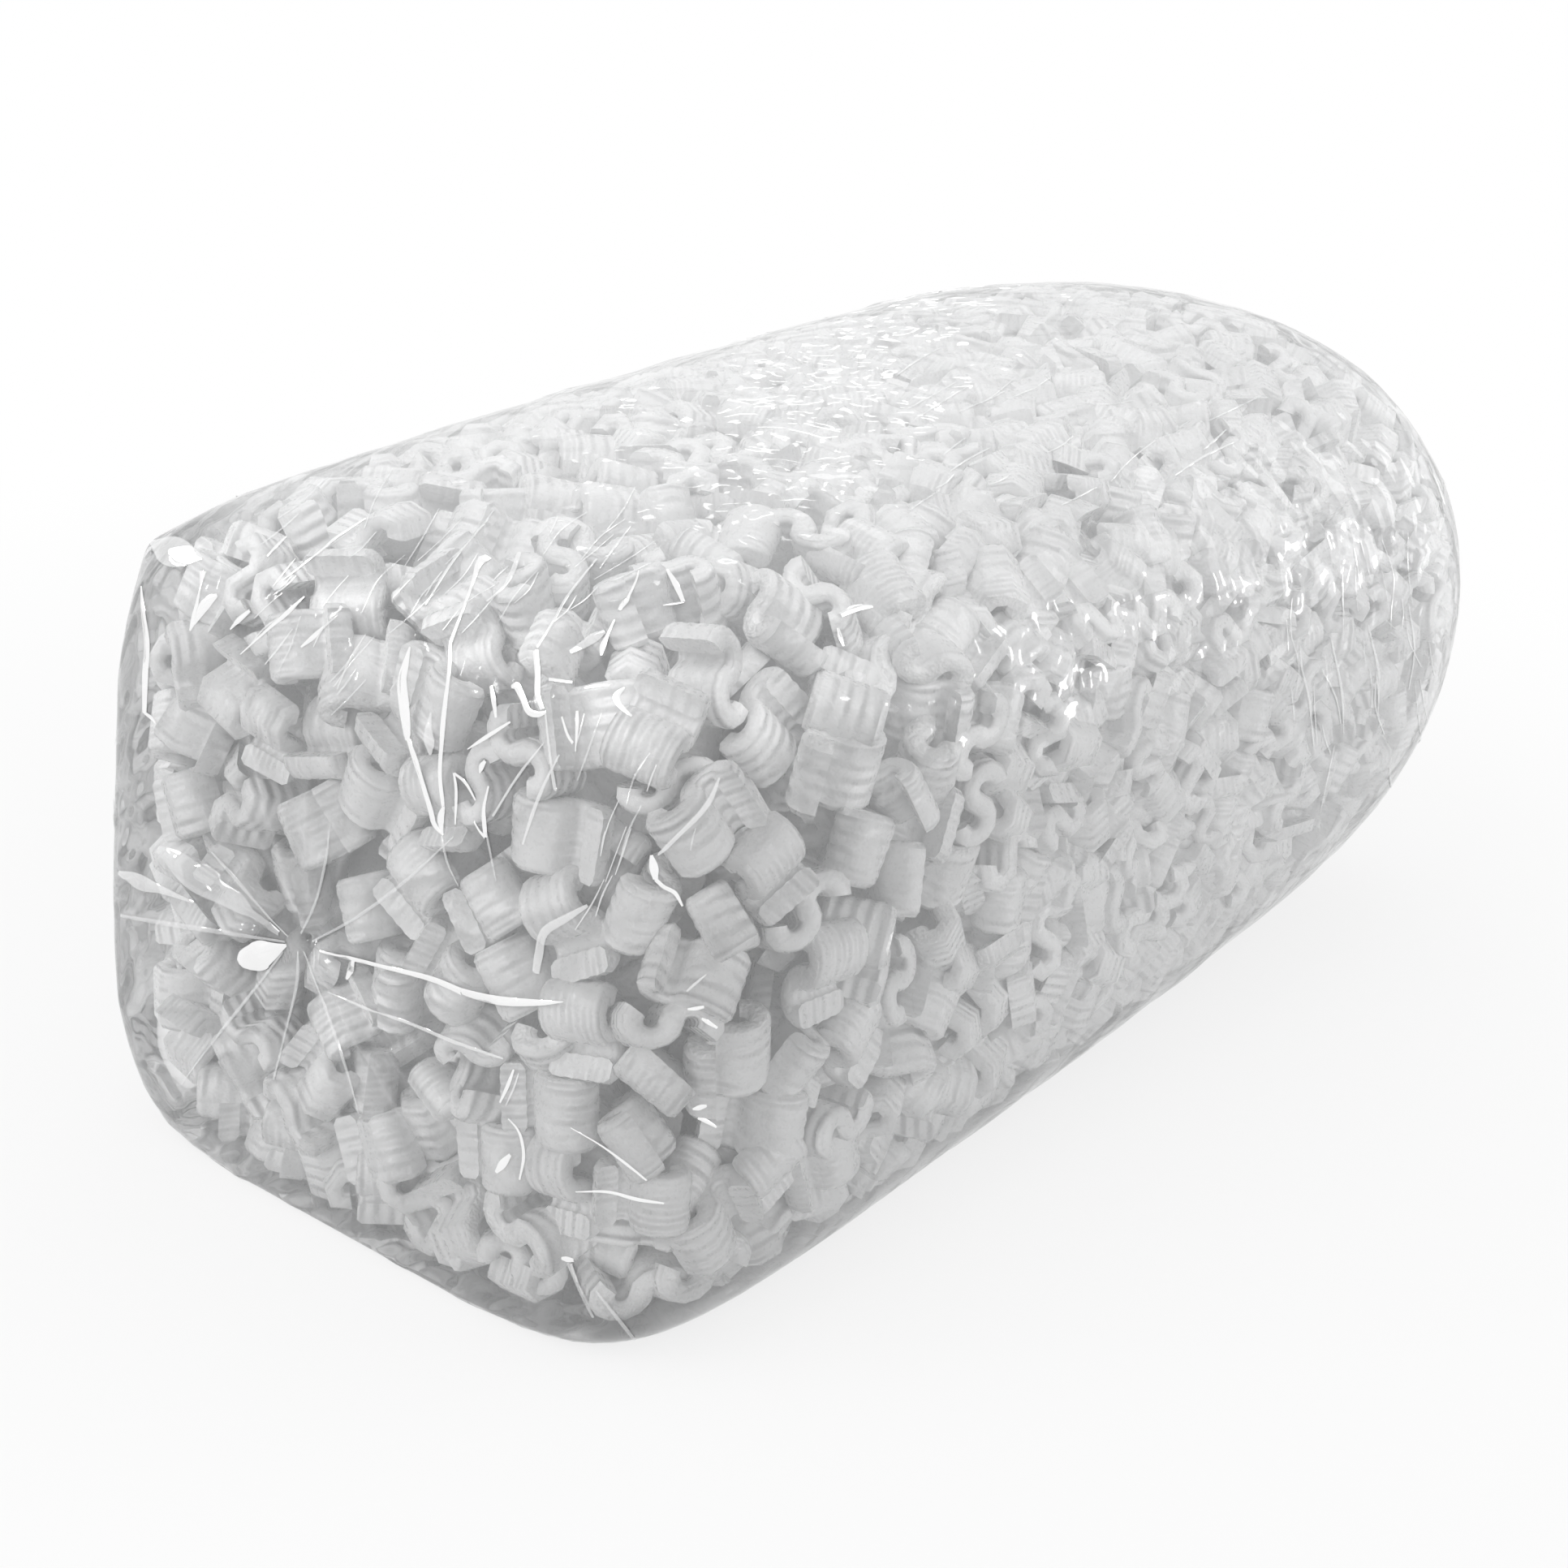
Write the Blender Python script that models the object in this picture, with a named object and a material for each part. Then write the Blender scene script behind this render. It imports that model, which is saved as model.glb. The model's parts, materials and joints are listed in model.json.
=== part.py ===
"""A clear bag of packing peanuts, lying on its side.

The bag is one piece of thin film: a square-cornered star-sealed end, whose pleats run in to one point, and a
wider round far end. Inside it the S-shaped foam peanuts lie in a heap. Some of the outer ones are separate
solids, and the rest are fused to the mass of peanuts under them.

Metres, +Z up, the long way along X, the sealed end at -X, and the origin under the middle of the bag.
"""
import math
import random

import bmesh
import bpy
from mathutils import Matrix, Vector
from mathutils.bvhtree import BVHTree

# The bag as it lies full
BAG_LENGTH = 0.655
SEALED_WIDTH = 0.304
ROUND_WIDTH = 0.416
SEALED_HEIGHT = 0.274
ROUND_HEIGHT = 0.337
SEALED_LEAN = 0.016
SETTLING = 0.017

# How square its outlines are: 2 is an ellipse, and higher is closer to a box
SEALED_EDGE_SQUARENESS = 12.0
ROUND_EDGE_SQUARENESS = 5.6
SEALED_CORNER_SQUARENESS = 4.6
ROUND_CORNER_SQUARENESS = 2.05

# The film and its star seal
FILM_THICKNESS = 0.0005
VENT_RADIUS = 0.002
SEAL_SIDE_OFFSET = 0.030
SEAL_DROP = 0.010
SEAL_DIMPLE = 0.011
DIMPLE_RADIUS = 0.034
PLEAT_DEPTH = 0.003
PLEAT_REACH = 0.19
PLEATS = 10
COLUMNS_PER_PLEAT = 3
END_FACE_SHARE = 0.87

# One foam peanut
PEANUT_LENGTH = 0.040
PEANUT_WIDTH = 0.027
STRIP_THICKNESS = 0.0098
LOBE_FLATTENING = 0.80
HOOK_ANGLE = 40.0
RIB_HEIGHT = 0.0010

# The heap
LAYER_DEPTH = 0.028
SEAT_GAP = 0.0003
FILM_CLEARANCE = 0.0015
PRESSED_IN = 0.010
LOOSE_PEANUTS = 40
LOOSE_SPACING = 0.120
FUSED_PEANUTS = 144
FUSED_SPACING = 0.056
LOWEST_SEAT_SLOPE = -0.35
HEAP_SEED = 7
PLACING_TRIES = 20000
CORE_COLUMNS = 20
CORE_POLE_SHARE = 0.05


def between(low, high, share):
    return low + (high - low) * share


def cap_of(station):
    """How much of the full section is left at a station from -1 to 1 along the bag."""
    squareness = SEALED_EDGE_SQUARENESS if station < 0 else ROUND_EDGE_SQUARENESS
    return max(0.0, 1.0 - abs(station) ** squareness) ** (1.0 / squareness)


def station_of(cap, sealed):
    """The station on the sealed or the round end where that share of the section is left."""
    squareness = SEALED_EDGE_SQUARENESS if sealed else ROUND_EDGE_SQUARENESS
    reach = max(0.0, 1.0 - cap ** squareness) ** (1.0 / squareness)
    return -reach if sealed else reach


def bag_stations(pole_cap):
    """The rings of the bag from its star seal to its round end, as (station, share of the section left)."""
    sealed_caps = (pole_cap, 0.10, 0.26, 0.48, 0.72, END_FACE_SHARE, 0.95)
    side_stations = (-0.84, -0.66, -0.42, -0.16, 0.12, 0.38, 0.58, 0.74, 0.86)
    round_caps = (0.83, 0.70, 0.52, 0.30)
    rings = [(station_of(cap, True), cap) for cap in sealed_caps]
    rings += [(station, cap_of(station)) for station in side_stations]
    rings += [(station_of(cap, False), cap) for cap in round_caps]
    return rings


def middle_height(station):
    """The height of the bag's middle line at a station, above the ground it has settled on."""
    share = (station + 1.0) / 2.0
    return between(SEALED_HEIGHT, ROUND_HEIGHT, share) / 2.0 - SETTLING


def skin_point(station, cap, angle, inset=0.0, floor=0.0):
    """A point on the bag's smooth outline, moved in by inset and flat on the floor.

    The lower half moves in by no more than half the settling, so that it still reaches the floor.
    """
    share = (station + 1.0) / 2.0
    half_width = between(SEALED_WIDTH, ROUND_WIDTH, share) / 2.0 - inset
    squareness = between(SEALED_CORNER_SQUARENESS, ROUND_CORNER_SQUARENESS, share)
    across = math.cos(angle)
    up = math.sin(angle)
    half_height = between(SEALED_HEIGHT, ROUND_HEIGHT, share) / 2.0
    half_height -= inset if up > 0.0 else min(inset, SETTLING / 2.0)
    reach = cap / (abs(across) ** squareness + abs(up) ** squareness) ** (1.0 / squareness)
    z = max(middle_height(station) + half_height * reach * up, floor)
    lean = SEALED_LEAN * (1.0 - share) * z / SEALED_HEIGHT
    return Vector(((BAG_LENGTH / 2.0 - inset) * station + lean, half_width * reach * across, z))


def skin_rings(stations, columns, inset=0.0, floor=0.0):
    """Rings of points on the outline, one ring for each station."""
    return [
        [skin_point(station, cap, math.tau * column / columns, inset, floor) for column in range(columns)]
        for station, cap in stations
    ]


def finish(name, colour, roughness, alpha=1.0):
    made = bpy.data.materials.new(name)
    made.use_nodes = True
    shader = made.node_tree.nodes["Principled BSDF"]
    shader.inputs["Base Color"].default_value = (*colour, 1.0)
    shader.inputs["Roughness"].default_value = roughness
    shader.inputs["Metallic"].default_value = 0.0
    shader.inputs["Alpha"].default_value = alpha
    made.diffuse_color = (*colour, alpha)
    return made


def place_in_scene(name, bm, material):
    """Turns the bmesh into a named object with its faces pointing out."""
    bmesh.ops.recalc_face_normals(bm, faces=bm.faces)
    mesh = bpy.data.meshes.new(name)
    bm.to_mesh(mesh)
    bm.free()
    mesh.materials.append(material)
    made = bpy.data.objects.new(name, mesh)
    bpy.context.scene.collection.objects.link(made)
    return made


def fold_in_pleats(rings, stations):
    """Folds every few columns of the film inwards, from the star seal to where the pleats have run out.

    The seal isn't in the middle of the end: its point lies to one side and a little low.
    """
    for ring, (station, cap) in zip(rings, stations):
        if station > 0.0:
            continue
        radius = cap * SEALED_HEIGHT / 2.0
        dimple = SEAL_DIMPLE * math.exp(-((radius / DIMPLE_RADIUS) ** 2))
        started = min(1.0, radius / DIMPLE_RADIUS)
        end_face = min(1.0, (1.0 - cap) / (1.0 - END_FACE_SHARE))
        for column, point in enumerate(ring):
            run_out = max(0.0, 1.0 - (point.x + BAG_LENGTH / 2.0) / PLEAT_REACH)
            fold = PLEAT_DEPTH * started * run_out if column % COLUMNS_PER_PLEAT == 0 else 0.0
            point.x += dimple + fold * end_face
            point.y += SEAL_SIDE_OFFSET * (1.0 - cap)
            point.z = max(point.z - SEAL_DROP * (1.0 - cap), 0.0)
            if point.z > FILM_THICKNESS:
                inward = Vector((0.0, -point.y, middle_height(station) - point.z)).normalized()
                point += inward * fold * (1.0 - end_face)


def make_film(material):
    """The bag: a pleated skin, open only at the vent in its star seal, with the film's thickness inwards."""
    stations = bag_stations(VENT_RADIUS / (SEALED_HEIGHT / 2.0))
    columns = PLEATS * COLUMNS_PER_PLEAT
    rings = skin_rings(stations, columns)
    fold_in_pleats(rings, stations)
    bm = bmesh.new()
    loops = [[bm.verts.new(point) for point in ring] for ring in rings]
    tip = bm.verts.new(skin_point(1.0, 0.0, 0.0))
    for first, second in zip(loops, loops[1:]):
        for column in range(columns):
            after = (column + 1) % columns
            bm.faces.new((first[column], first[after], second[after], second[column]))
    for column in range(columns):
        bm.faces.new((loops[-1][column], loops[-1][(column + 1) % columns], tip))
    film = place_in_scene("bag_film", bm, material)
    film.data.shade_smooth()
    film.data.set_sharp_from_angle(angle=math.radians(20.0))
    wall = film.modifiers.new("film wall", "SOLIDIFY")
    wall.thickness = FILM_THICKNESS
    wall.offset = -1.0
    return film


def strip_line(steps):
    """The centreline of the S, as (point, sideways direction): a lobe down, then its twin up."""
    radius = (PEANUT_LENGTH - STRIP_THICKNESS) / 4.0
    sweep = math.pi + math.radians(HOOK_ANGLE)
    lobe = []
    for step in range(steps + 1):
        angle = math.tau - sweep * (1.0 - step / steps)
        sideways = Vector((math.cos(angle), math.sin(angle), 0.0))
        place = Vector((sideways.x - 1.0, sideways.y * LOBE_FLATTENING, 0.0)) * radius
        lobe.append((place, sideways))
    return lobe + [(-place, sideways) for place, sideways in reversed(lobe[:-1])]


def peanut_template(steps, slices):
    """One S-shaped peanut about its own middle: vertices and faces, with its S in XY and its width along Z."""
    line = strip_line(steps)
    vertices = []
    for cut in range(slices + 1):
        share = cut / slices
        swell = RIB_HEIGHT * math.sin(math.pi * share)
        z = (share - 0.5) * PEANUT_WIDTH
        edge = [place + sideways * (STRIP_THICKNESS / 2.0 + swell) for place, sideways in line]
        edge += [place - sideways * (STRIP_THICKNESS / 2.0 + swell) for place, sideways in reversed(line)]
        vertices += [Vector((point.x, point.y, z)) for point in edge]
    around = 2 * len(line)
    faces = []
    for cut in range(slices):
        for index in range(around):
            after = (index + 1) % around
            low = cut * around
            high = low + around
            faces.append((low + index, low + after, high + after, high + index))
    for index in range(len(line) - 1):
        across = (index, index + 1, around - 2 - index, around - 1 - index)
        faces.append(tuple(reversed(across)))
        faces.append(tuple(slices * around + corner for corner in across))
    return vertices, faces


def random_turn(draw):
    """A turn that is as likely one way as any other."""
    axis = Vector((draw.gauss(0.0, 1.0), draw.gauss(0.0, 1.0), draw.gauss(0.0, 1.0))).normalized()
    return Matrix.Rotation(draw.uniform(0.0, math.pi), 3, axis)


class Heap:
    """The hidden mass of peanuts, and the outer peanuts that find a free seat on it inside the film."""

    def __init__(self, film):
        self.draw = random.Random(HEAP_SEED)
        self.core = self.make_core()
        self.core.faces.ensure_lookup_table()
        self.film_tree = self.tree_of_film(film)
        self.seats = [face for face in self.core.faces if face.normal.z > LOWEST_SEAT_SLOPE]
        self.seat_areas = [face.calc_area() for face in self.seats]
        self.placed = []

    def make_core(self):
        """A hull a layer deep inside the film, flat on the film's floor."""
        floor = FILM_THICKNESS + SEAT_GAP
        bm = bmesh.new()
        for ring in skin_rings(bag_stations(CORE_POLE_SHARE)[::2], CORE_COLUMNS, LAYER_DEPTH, floor):
            for point in ring:
                bm.verts.new(point)
        hull = bmesh.ops.convex_hull(bm, input=bm.verts)
        inside = {item for item in hull["geom_interior"] if isinstance(item, bmesh.types.BMVert)}
        bmesh.ops.delete(bm, geom=list(inside), context="VERTS")
        bmesh.ops.recalc_face_normals(bm, faces=bm.faces)
        return bm

    def tree_of_film(self, film):
        """The film with its thickness, for telling how close a peanut comes."""
        return BVHTree.FromObject(film, bpy.context.evaluated_depsgraph_get())

    def random_seat(self):
        """A place on the mass and the direction out from it there."""
        face = self.draw.choices(self.seats, self.seat_areas)[0]
        first, second, third = (vert.co for vert in face.verts)
        along = self.draw.random()
        aside = self.draw.random()
        if along + aside > 1.0:
            along = 1.0 - along
            aside = 1.0 - aside
        return first + (second - first) * along + (third - first) * aside, face.normal

    def fits(self, vertices, faces, spacing):
        """True if the peanut clears the film and every peanut placed before it, and isn't crowded."""
        middle = sum(vertices, Vector()) / len(vertices)
        if any((other - middle).length < spacing for other, _ in self.placed):
            return False
        reach = max((vertex - middle).length for vertex in vertices)
        for vertex in vertices:
            if self.film_tree.find_nearest(vertex, FILM_CLEARANCE)[0] is not None:
                return False
        grown = [middle + (vertex - middle) * (1.0 + FILM_CLEARANCE / reach) for vertex in vertices]
        tree = BVHTree.FromPolygons(grown, faces)
        if tree.overlap(self.film_tree):
            return False
        for other_middle, other_tree in self.placed:
            if (other_middle - middle).length < 2.0 * reach and tree.overlap(other_tree):
                return False
        self.placed.append((middle, BVHTree.FromPolygons(vertices, faces)))
        return True

    def find_places(self, template, wanted, lift, spacing):
        """Vertex lists of up to the wanted number of peanuts, their lowest corner lifted off the mass by lift.

        The spacing between middles shrinks as the tries go on, so that the peanuts spread evenly.
        """
        vertices, faces = template
        found = []
        for attempt in range(PLACING_TRIES):
            if len(found) == wanted:
                break
            seat, out = self.random_seat()
            turn = random_turn(self.draw)
            turned = [turn @ vertex for vertex in vertices]
            lowest = min(turned, key=lambda vertex: vertex.dot(out))
            moved = [vertex - lowest + seat + out * lift for vertex in turned]
            if self.fits(moved, faces, spacing * (1.0 - attempt / PLACING_TRIES)):
                found.append(moved)
        return found


def bmesh_of(pieces, faces):
    """One bmesh that holds a copy of the faces for each list of vertices."""
    bm = bmesh.new()
    for vertices in pieces:
        made = [bm.verts.new(vertex) for vertex in vertices]
        for face in faces:
            bm.faces.new([made[index] for index in face])
    return bm


def make_heap(heap, material):
    """The mass of peanuts: the outer ones that are pressed into it, fused to it."""
    template = peanut_template(steps=2, slices=1)
    pieces = heap.find_places(template, FUSED_PEANUTS, -PRESSED_IN, FUSED_SPACING)
    pressed = place_in_scene("pressed_peanuts", bmesh_of(pieces, template[1]), material)
    pressed.hide_render = True
    pressed.display_type = "WIRE"
    mass = place_in_scene("peanut_fill", heap.core, material)
    fuse = mass.modifiers.new("fused peanuts", "BOOLEAN")
    fuse.operation = "UNION"
    fuse.solver = "EXACT"
    fuse.object = pressed


def make_loose_peanuts(heap, material):
    """The outer peanuts that only rest on the others."""
    template = peanut_template(steps=3, slices=2)
    pieces = heap.find_places(template, LOOSE_PEANUTS, SEAT_GAP, LOOSE_SPACING)
    for number, vertices in enumerate(pieces, start=1):
        place_in_scene(f"peanut_{number:02d}", bmesh_of([vertices], template[1]), material)


def stand_over_origin(film):
    """Moves every piece along X, so that the origin is under the middle of the bag."""
    ends = [corner[0] for corner in film.bound_box]
    for piece in bpy.data.objects:
        piece.location.x -= (min(ends) + max(ends)) / 2.0


def main():
    for old in list(bpy.data.objects):
        bpy.data.objects.remove(old, do_unlink=True)
    film = make_film(finish("clear film", (0.90, 0.92, 0.93), 0.12, alpha=0.28))
    foam = finish("white foam", (0.88, 0.89, 0.89), 0.62)
    heap = Heap(film)
    make_loose_peanuts(heap, foam)
    make_heap(heap, foam)
    stand_over_origin(film)


main()
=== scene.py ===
"""A clear bag of S-shaped foam packing peanuts, lying on its side: its looks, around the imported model.

Metres, +Z up. The bag lies along X with its star-sealed end at -X, and the camera looks at that end and the -Y
side.
"""
import json
import math

import bpy
import numpy as np
from mathutils import Matrix, Vector, noise
from mathutils.bvhtree import BVHTree

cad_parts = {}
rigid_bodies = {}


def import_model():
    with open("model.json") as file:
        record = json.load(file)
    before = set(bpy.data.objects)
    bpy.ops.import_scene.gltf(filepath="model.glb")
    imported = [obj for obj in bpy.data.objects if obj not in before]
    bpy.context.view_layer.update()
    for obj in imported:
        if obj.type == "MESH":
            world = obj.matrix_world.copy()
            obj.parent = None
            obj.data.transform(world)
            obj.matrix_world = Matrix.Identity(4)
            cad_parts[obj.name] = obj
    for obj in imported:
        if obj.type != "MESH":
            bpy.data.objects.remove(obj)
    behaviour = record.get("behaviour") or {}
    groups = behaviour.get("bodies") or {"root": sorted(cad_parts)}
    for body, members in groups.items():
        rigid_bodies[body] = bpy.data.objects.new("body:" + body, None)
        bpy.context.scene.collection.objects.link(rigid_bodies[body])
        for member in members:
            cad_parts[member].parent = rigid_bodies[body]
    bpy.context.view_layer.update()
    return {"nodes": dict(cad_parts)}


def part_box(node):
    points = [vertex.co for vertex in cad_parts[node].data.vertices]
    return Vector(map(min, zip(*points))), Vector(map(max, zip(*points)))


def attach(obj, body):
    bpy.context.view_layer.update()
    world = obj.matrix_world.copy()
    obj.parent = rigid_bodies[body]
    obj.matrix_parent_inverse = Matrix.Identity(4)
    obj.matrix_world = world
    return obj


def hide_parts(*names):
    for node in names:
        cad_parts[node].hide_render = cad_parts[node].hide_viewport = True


bl_info = {
    "name": "Bag of Packing Peanuts",
    "version": (1, 0, 0),
    "blender": (4, 5, 0),
    "location": "View3D > Sidebar > Peanut Bag",
    "description": "Fills a clear film bag with foam packing peanuts and lights it on a pale floor",
    "category": "Object",
}

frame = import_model()
FILM_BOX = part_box("bag_film")
LOOSE_NODES = sorted(name for name in frame["nodes"] if name not in ("bag_film", "peanut_fill"))

# The photograph's frame, in which the pixel places below are given
PHOTO_SIDE = 1932
PHOTO_MIDDLE = PHOTO_SIDE / 2.0
SENSOR_WIDTH = 36.0


class BagSizes(bpy.types.PropertyGroup):
    """The bag as it lies full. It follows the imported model's form."""

    length: bpy.props.FloatProperty(
        name="Length", description="From the sealed end to the round end", default=0.655, unit="LENGTH")
    sealed_width: bpy.props.FloatProperty(
        name="Sealed Width", description="Width at the star-sealed end", default=0.304, unit="LENGTH")
    round_width: bpy.props.FloatProperty(
        name="Round Width", description="Width at the round end", default=0.416, unit="LENGTH")
    sealed_height: bpy.props.FloatProperty(
        name="Sealed Height", description="Height of the sealed end's section", default=0.274, unit="LENGTH")
    round_height: bpy.props.FloatProperty(
        name="Round Height", description="Height of the round end's section", default=0.337, unit="LENGTH")
    lean: bpy.props.FloatProperty(
        name="Lean", description="How far the sealed end leans back at its top", default=0.016, unit="LENGTH")
    settling: bpy.props.FloatProperty(
        name="Settling", description="How far the underside is pressed flat", default=0.017, unit="LENGTH")
    seal_side: bpy.props.FloatProperty(
        name="Seal Offset", description="How far the seal's point lies to +Y", default=0.030, unit="LENGTH")
    seal_drop: bpy.props.FloatProperty(
        name="Seal Drop", description="How far the seal lies below the middle", default=0.010, unit="LENGTH")
    seal_dimple: bpy.props.FloatProperty(
        name="Seal Dimple", description="How far the seal draws the film in", default=0.010, unit="LENGTH")


class PeanutSizes(bpy.types.PropertyGroup):
    """One foam peanut, and how many there are."""

    length: bpy.props.FloatProperty(
        name="Length", description="Along the S", default=0.040, unit="LENGTH")
    width: bpy.props.FloatProperty(
        name="Width", description="Across the S, the way it was cut", default=0.027, unit="LENGTH")
    strip: bpy.props.FloatProperty(
        name="Strip", description="Thickness of the strip that makes the S", default=0.0098, unit="LENGTH")
    rib: bpy.props.FloatProperty(
        name="Rib", description="How far a rib stands out", default=0.0004, unit="LENGTH")
    count: bpy.props.IntProperty(
        name="Count", description="How many peanuts are poured in", default=2700)
    seed: bpy.props.IntProperty(
        name="Seed", description="Start of the random draws", default=11)


class BagColours(bpy.types.PropertyGroup):
    """Finish of the foam, the film and the stage."""

    foam: bpy.props.FloatVectorProperty(
        name="Foam", description="Colour of the foam", default=(0.97, 0.97, 0.97), subtype="COLOR", size=3)
    film: bpy.props.FloatVectorProperty(
        name="Film", description="Colour of the film's haze",
        default=(0.92, 0.93, 0.94), subtype="COLOR", size=3)
    floor: bpy.props.FloatVectorProperty(
        name="Floor", description="Colour of the floor", default=(0.66, 0.66, 0.66), subtype="COLOR", size=3)


# Placing the camera by the fit to the bag's outline

CAMERA_AZIMUTH = -55.64
CAMERA_ELEVATION = 21.54
CAMERA_ROLL = 4.315
CAMERA_DISTANCE = 0.9486
CAMERA_TARGET = Vector((-0.0329, 0.0176, 0.0954))
CAMERA_FOCAL_PIXELS = 2500.0


def camera_axes():
    """The camera's right, up and backward directions."""
    azimuth = math.radians(CAMERA_AZIMUTH)
    elevation = math.radians(CAMERA_ELEVATION)
    roll = math.radians(CAMERA_ROLL)
    back = Vector((
        math.sin(azimuth) * math.cos(elevation),
        -math.cos(azimuth) * math.cos(elevation),
        math.sin(elevation),
    ))
    right = (-back).cross(Vector((0.0, 0.0, 1.0))).normalized()
    up = right.cross(-back)
    return (
        right * math.cos(roll) + up * math.sin(roll),
        up * math.cos(roll) - right * math.sin(roll),
        back,
    )


def camera_place():
    return CAMERA_TARGET + camera_axes()[2] * CAMERA_DISTANCE


def pixel_direction(across, down):
    """The direction from the camera through a pixel of the photograph."""
    right, up, back = camera_axes()
    ray = right * (across - PHOTO_MIDDLE) - up * (down - PHOTO_MIDDLE) - back * CAMERA_FOCAL_PIXELS
    return ray.normalized()


# Small helpers for working by hand

def pick_only(piece):
    """Deselects everything, then selects the piece and makes it active."""
    bpy.ops.object.select_all(action="DESELECT")
    piece.select_set(True)
    bpy.context.view_layer.objects.active = piece


def named(piece, name):
    piece.name = name
    piece.data.name = name
    return piece


def coordinates(mesh):
    found = np.empty(len(mesh.vertices) * 3)
    mesh.vertices.foreach_get("co", found)
    return found.reshape(-1, 3)


def set_coordinates(mesh, places):
    mesh.vertices.foreach_set("co", np.asarray(places, float).ravel())
    mesh.update()


def vertex_normals(mesh):
    found = np.empty(len(mesh.vertices) * 3)
    mesh.vertices.foreach_get("normal", found)
    return found.reshape(-1, 3)


def between(low, high, share):
    return low + (high - low) * share


# The bag's form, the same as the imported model's: the powers of its rounded box, and of the room inside it

SEALED_EDGE_SQUARENESS = 12.0
ROUND_EDGE_SQUARENESS = 5.6
SEALED_CORNER_SQUARENESS = 4.6
ROUND_CORNER_SQUARENESS = 2.05
ROOM_EDGE_SQUARENESS = 10.5
ROOM_CORNER_SQUARENESS = 4.4


def section_at(bag, share, corner_squareness=SEALED_CORNER_SQUARENESS):
    """Half width, half height, middle height and corner squareness where share of the length is behind."""
    half_height = between(bag.sealed_height, bag.round_height, share) / 2.0
    return (
        between(bag.sealed_width, bag.round_width, share) / 2.0,
        half_height,
        half_height - bag.settling,
        between(corner_squareness, ROUND_CORNER_SQUARENESS, share),
    )


def skin_places(bag, along, around, angle):
    """Points on the bag's outline for points of a unit sphere, given by their height along the bag's axis,
    their distance from it and their angle round it."""
    squareness = np.where(along < 0.0, SEALED_EDGE_SQUARENESS, ROUND_EDGE_SQUARENESS)
    stretch = (np.abs(along) ** squareness + around ** squareness) ** (1.0 / squareness)
    station = along / stretch
    cap = around / stretch
    share = (station + 1.0) / 2.0
    half_width, half_height, middle, corner = section_at(bag, share)
    across = np.cos(angle)
    up = np.sin(angle)
    reach = cap / (np.abs(across) ** corner + np.abs(up) ** corner) ** (1.0 / corner)
    z = np.maximum(middle + half_height * reach * up, 0.0)
    lean = bag.lean * (1.0 - share) * z / bag.sealed_height
    x = bag.length / 2.0 * station + lean
    return np.stack([x, half_width * reach * across, z], 1), station, cap


# One peanut as the packing sees it: balls along the S and across it

HOOK = math.radians(40.0)
FLATTENING = 0.80
SPHERE_RADIUS = 0.0056
STRIP_STOPS = 3
WIDTH_STOPS = (-0.0082, 0.0, 0.0082)
SCALE_RANGE = (0.83, 0.98)

# The room for the peanuts: the gap to the film, the seal's dimple and the empty ear of film beside the seal

FILM_GAP = 0.0018
SEAL_REACH = 0.034
EAR_DEPTH = 0.014
EAR_SHARE = 0.07
EAR_HALF_HEIGHT = 0.075

# Packing: the peanuts drift outward at first, push each other apart, and are set against the film at the end

TRIES_FOR_EACH = 3
PACKING_ROUNDS = 95
ROUNDS_BETWEEN_SEARCHES = 5
SEARCH_MARGIN = 0.004
TURN_SHARE = 0.6
OVER_RELAXATION = 1.2
OUTWARD_DRIFT = 0.0024
DRIFT_ROUNDS = 88
DRIFT_EASE = 0.3
END_POWER = 5
SETTLING_ROUNDS = 8
HUG_REACH = 0.009


def strip_line(peanut, hook, flattening, steps):
    """Points along the middle of the S, from one hook to the other."""
    radius = (peanut.length - peanut.strip) / 4.0
    sweep = math.pi + hook
    lobe = []
    for step in range(steps + 1):
        angle = math.tau - sweep * (1.0 - step / steps)
        lobe.append(((math.cos(angle) - 1.0) * radius, math.sin(angle) * flattening * radius))
    return lobe + [(-x, -y) for x, y in reversed(lobe[:-1])]


def seal_pull(bag, y, z):
    """How far the star draws the sealed end in at each place on it."""
    middle = bag.sealed_height / 2.0 - bag.settling - bag.seal_drop
    return bag.seal_dimple * np.exp(-((y - bag.seal_side) ** 2 + (z - middle) ** 2) / SEAL_REACH ** 2)


def room_share(bag, places, margin):
    """Each point's place from the bag's middle, and how far out it lies: 1 on the wall of the room for the
    peanuts. The film's +Y edge at the seal stays empty."""
    x, y, z = places.T
    share = (np.clip(x / (bag.length / 2.0), -1.0, 1.0) + 1.0) / 2.0
    half_width, half_height, middle, corner = section_at(bag, share, ROOM_CORNER_SQUARENESS)
    x = x - bag.lean * (1.0 - share) * z / bag.sealed_height
    x = x - np.where(x < 0.0, seal_pull(bag, y, z), 0.0)
    edge = np.where(x < 0.0, ROOM_EDGE_SQUARENESS, ROUND_EDGE_SQUARENESS)
    ear = EAR_DEPTH * np.exp(-((share / EAR_SHARE) ** 2) - ((z - middle) / EAR_HALF_HEIGHT) ** 2)
    ear = np.where(y > 0.0, ear, 0.0)
    along = np.abs(x) / (bag.length / 2.0 - margin)
    across = np.abs(y) / (half_width - ear - margin)
    up = np.abs(z - middle) / (half_height - margin)
    ring = (across ** corner + up ** corner) ** (1.0 / corner)
    out = (along ** edge + ring ** edge) ** (1.0 / edge)
    return np.stack([x, y, z - middle], 1), np.maximum(out, 1e-9)


def back_into_room(bag, places, margin):
    """How far each point has to move to lie in the room."""
    spot, out = room_share(bag, places, margin)
    move = spot * np.where(out > 1.0, 1.0 / out - 1.0, 0.0)[:, None]
    move[:, 2] += np.maximum(margin - places[:, 2] - move[:, 2], 0.0)
    return move


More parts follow.
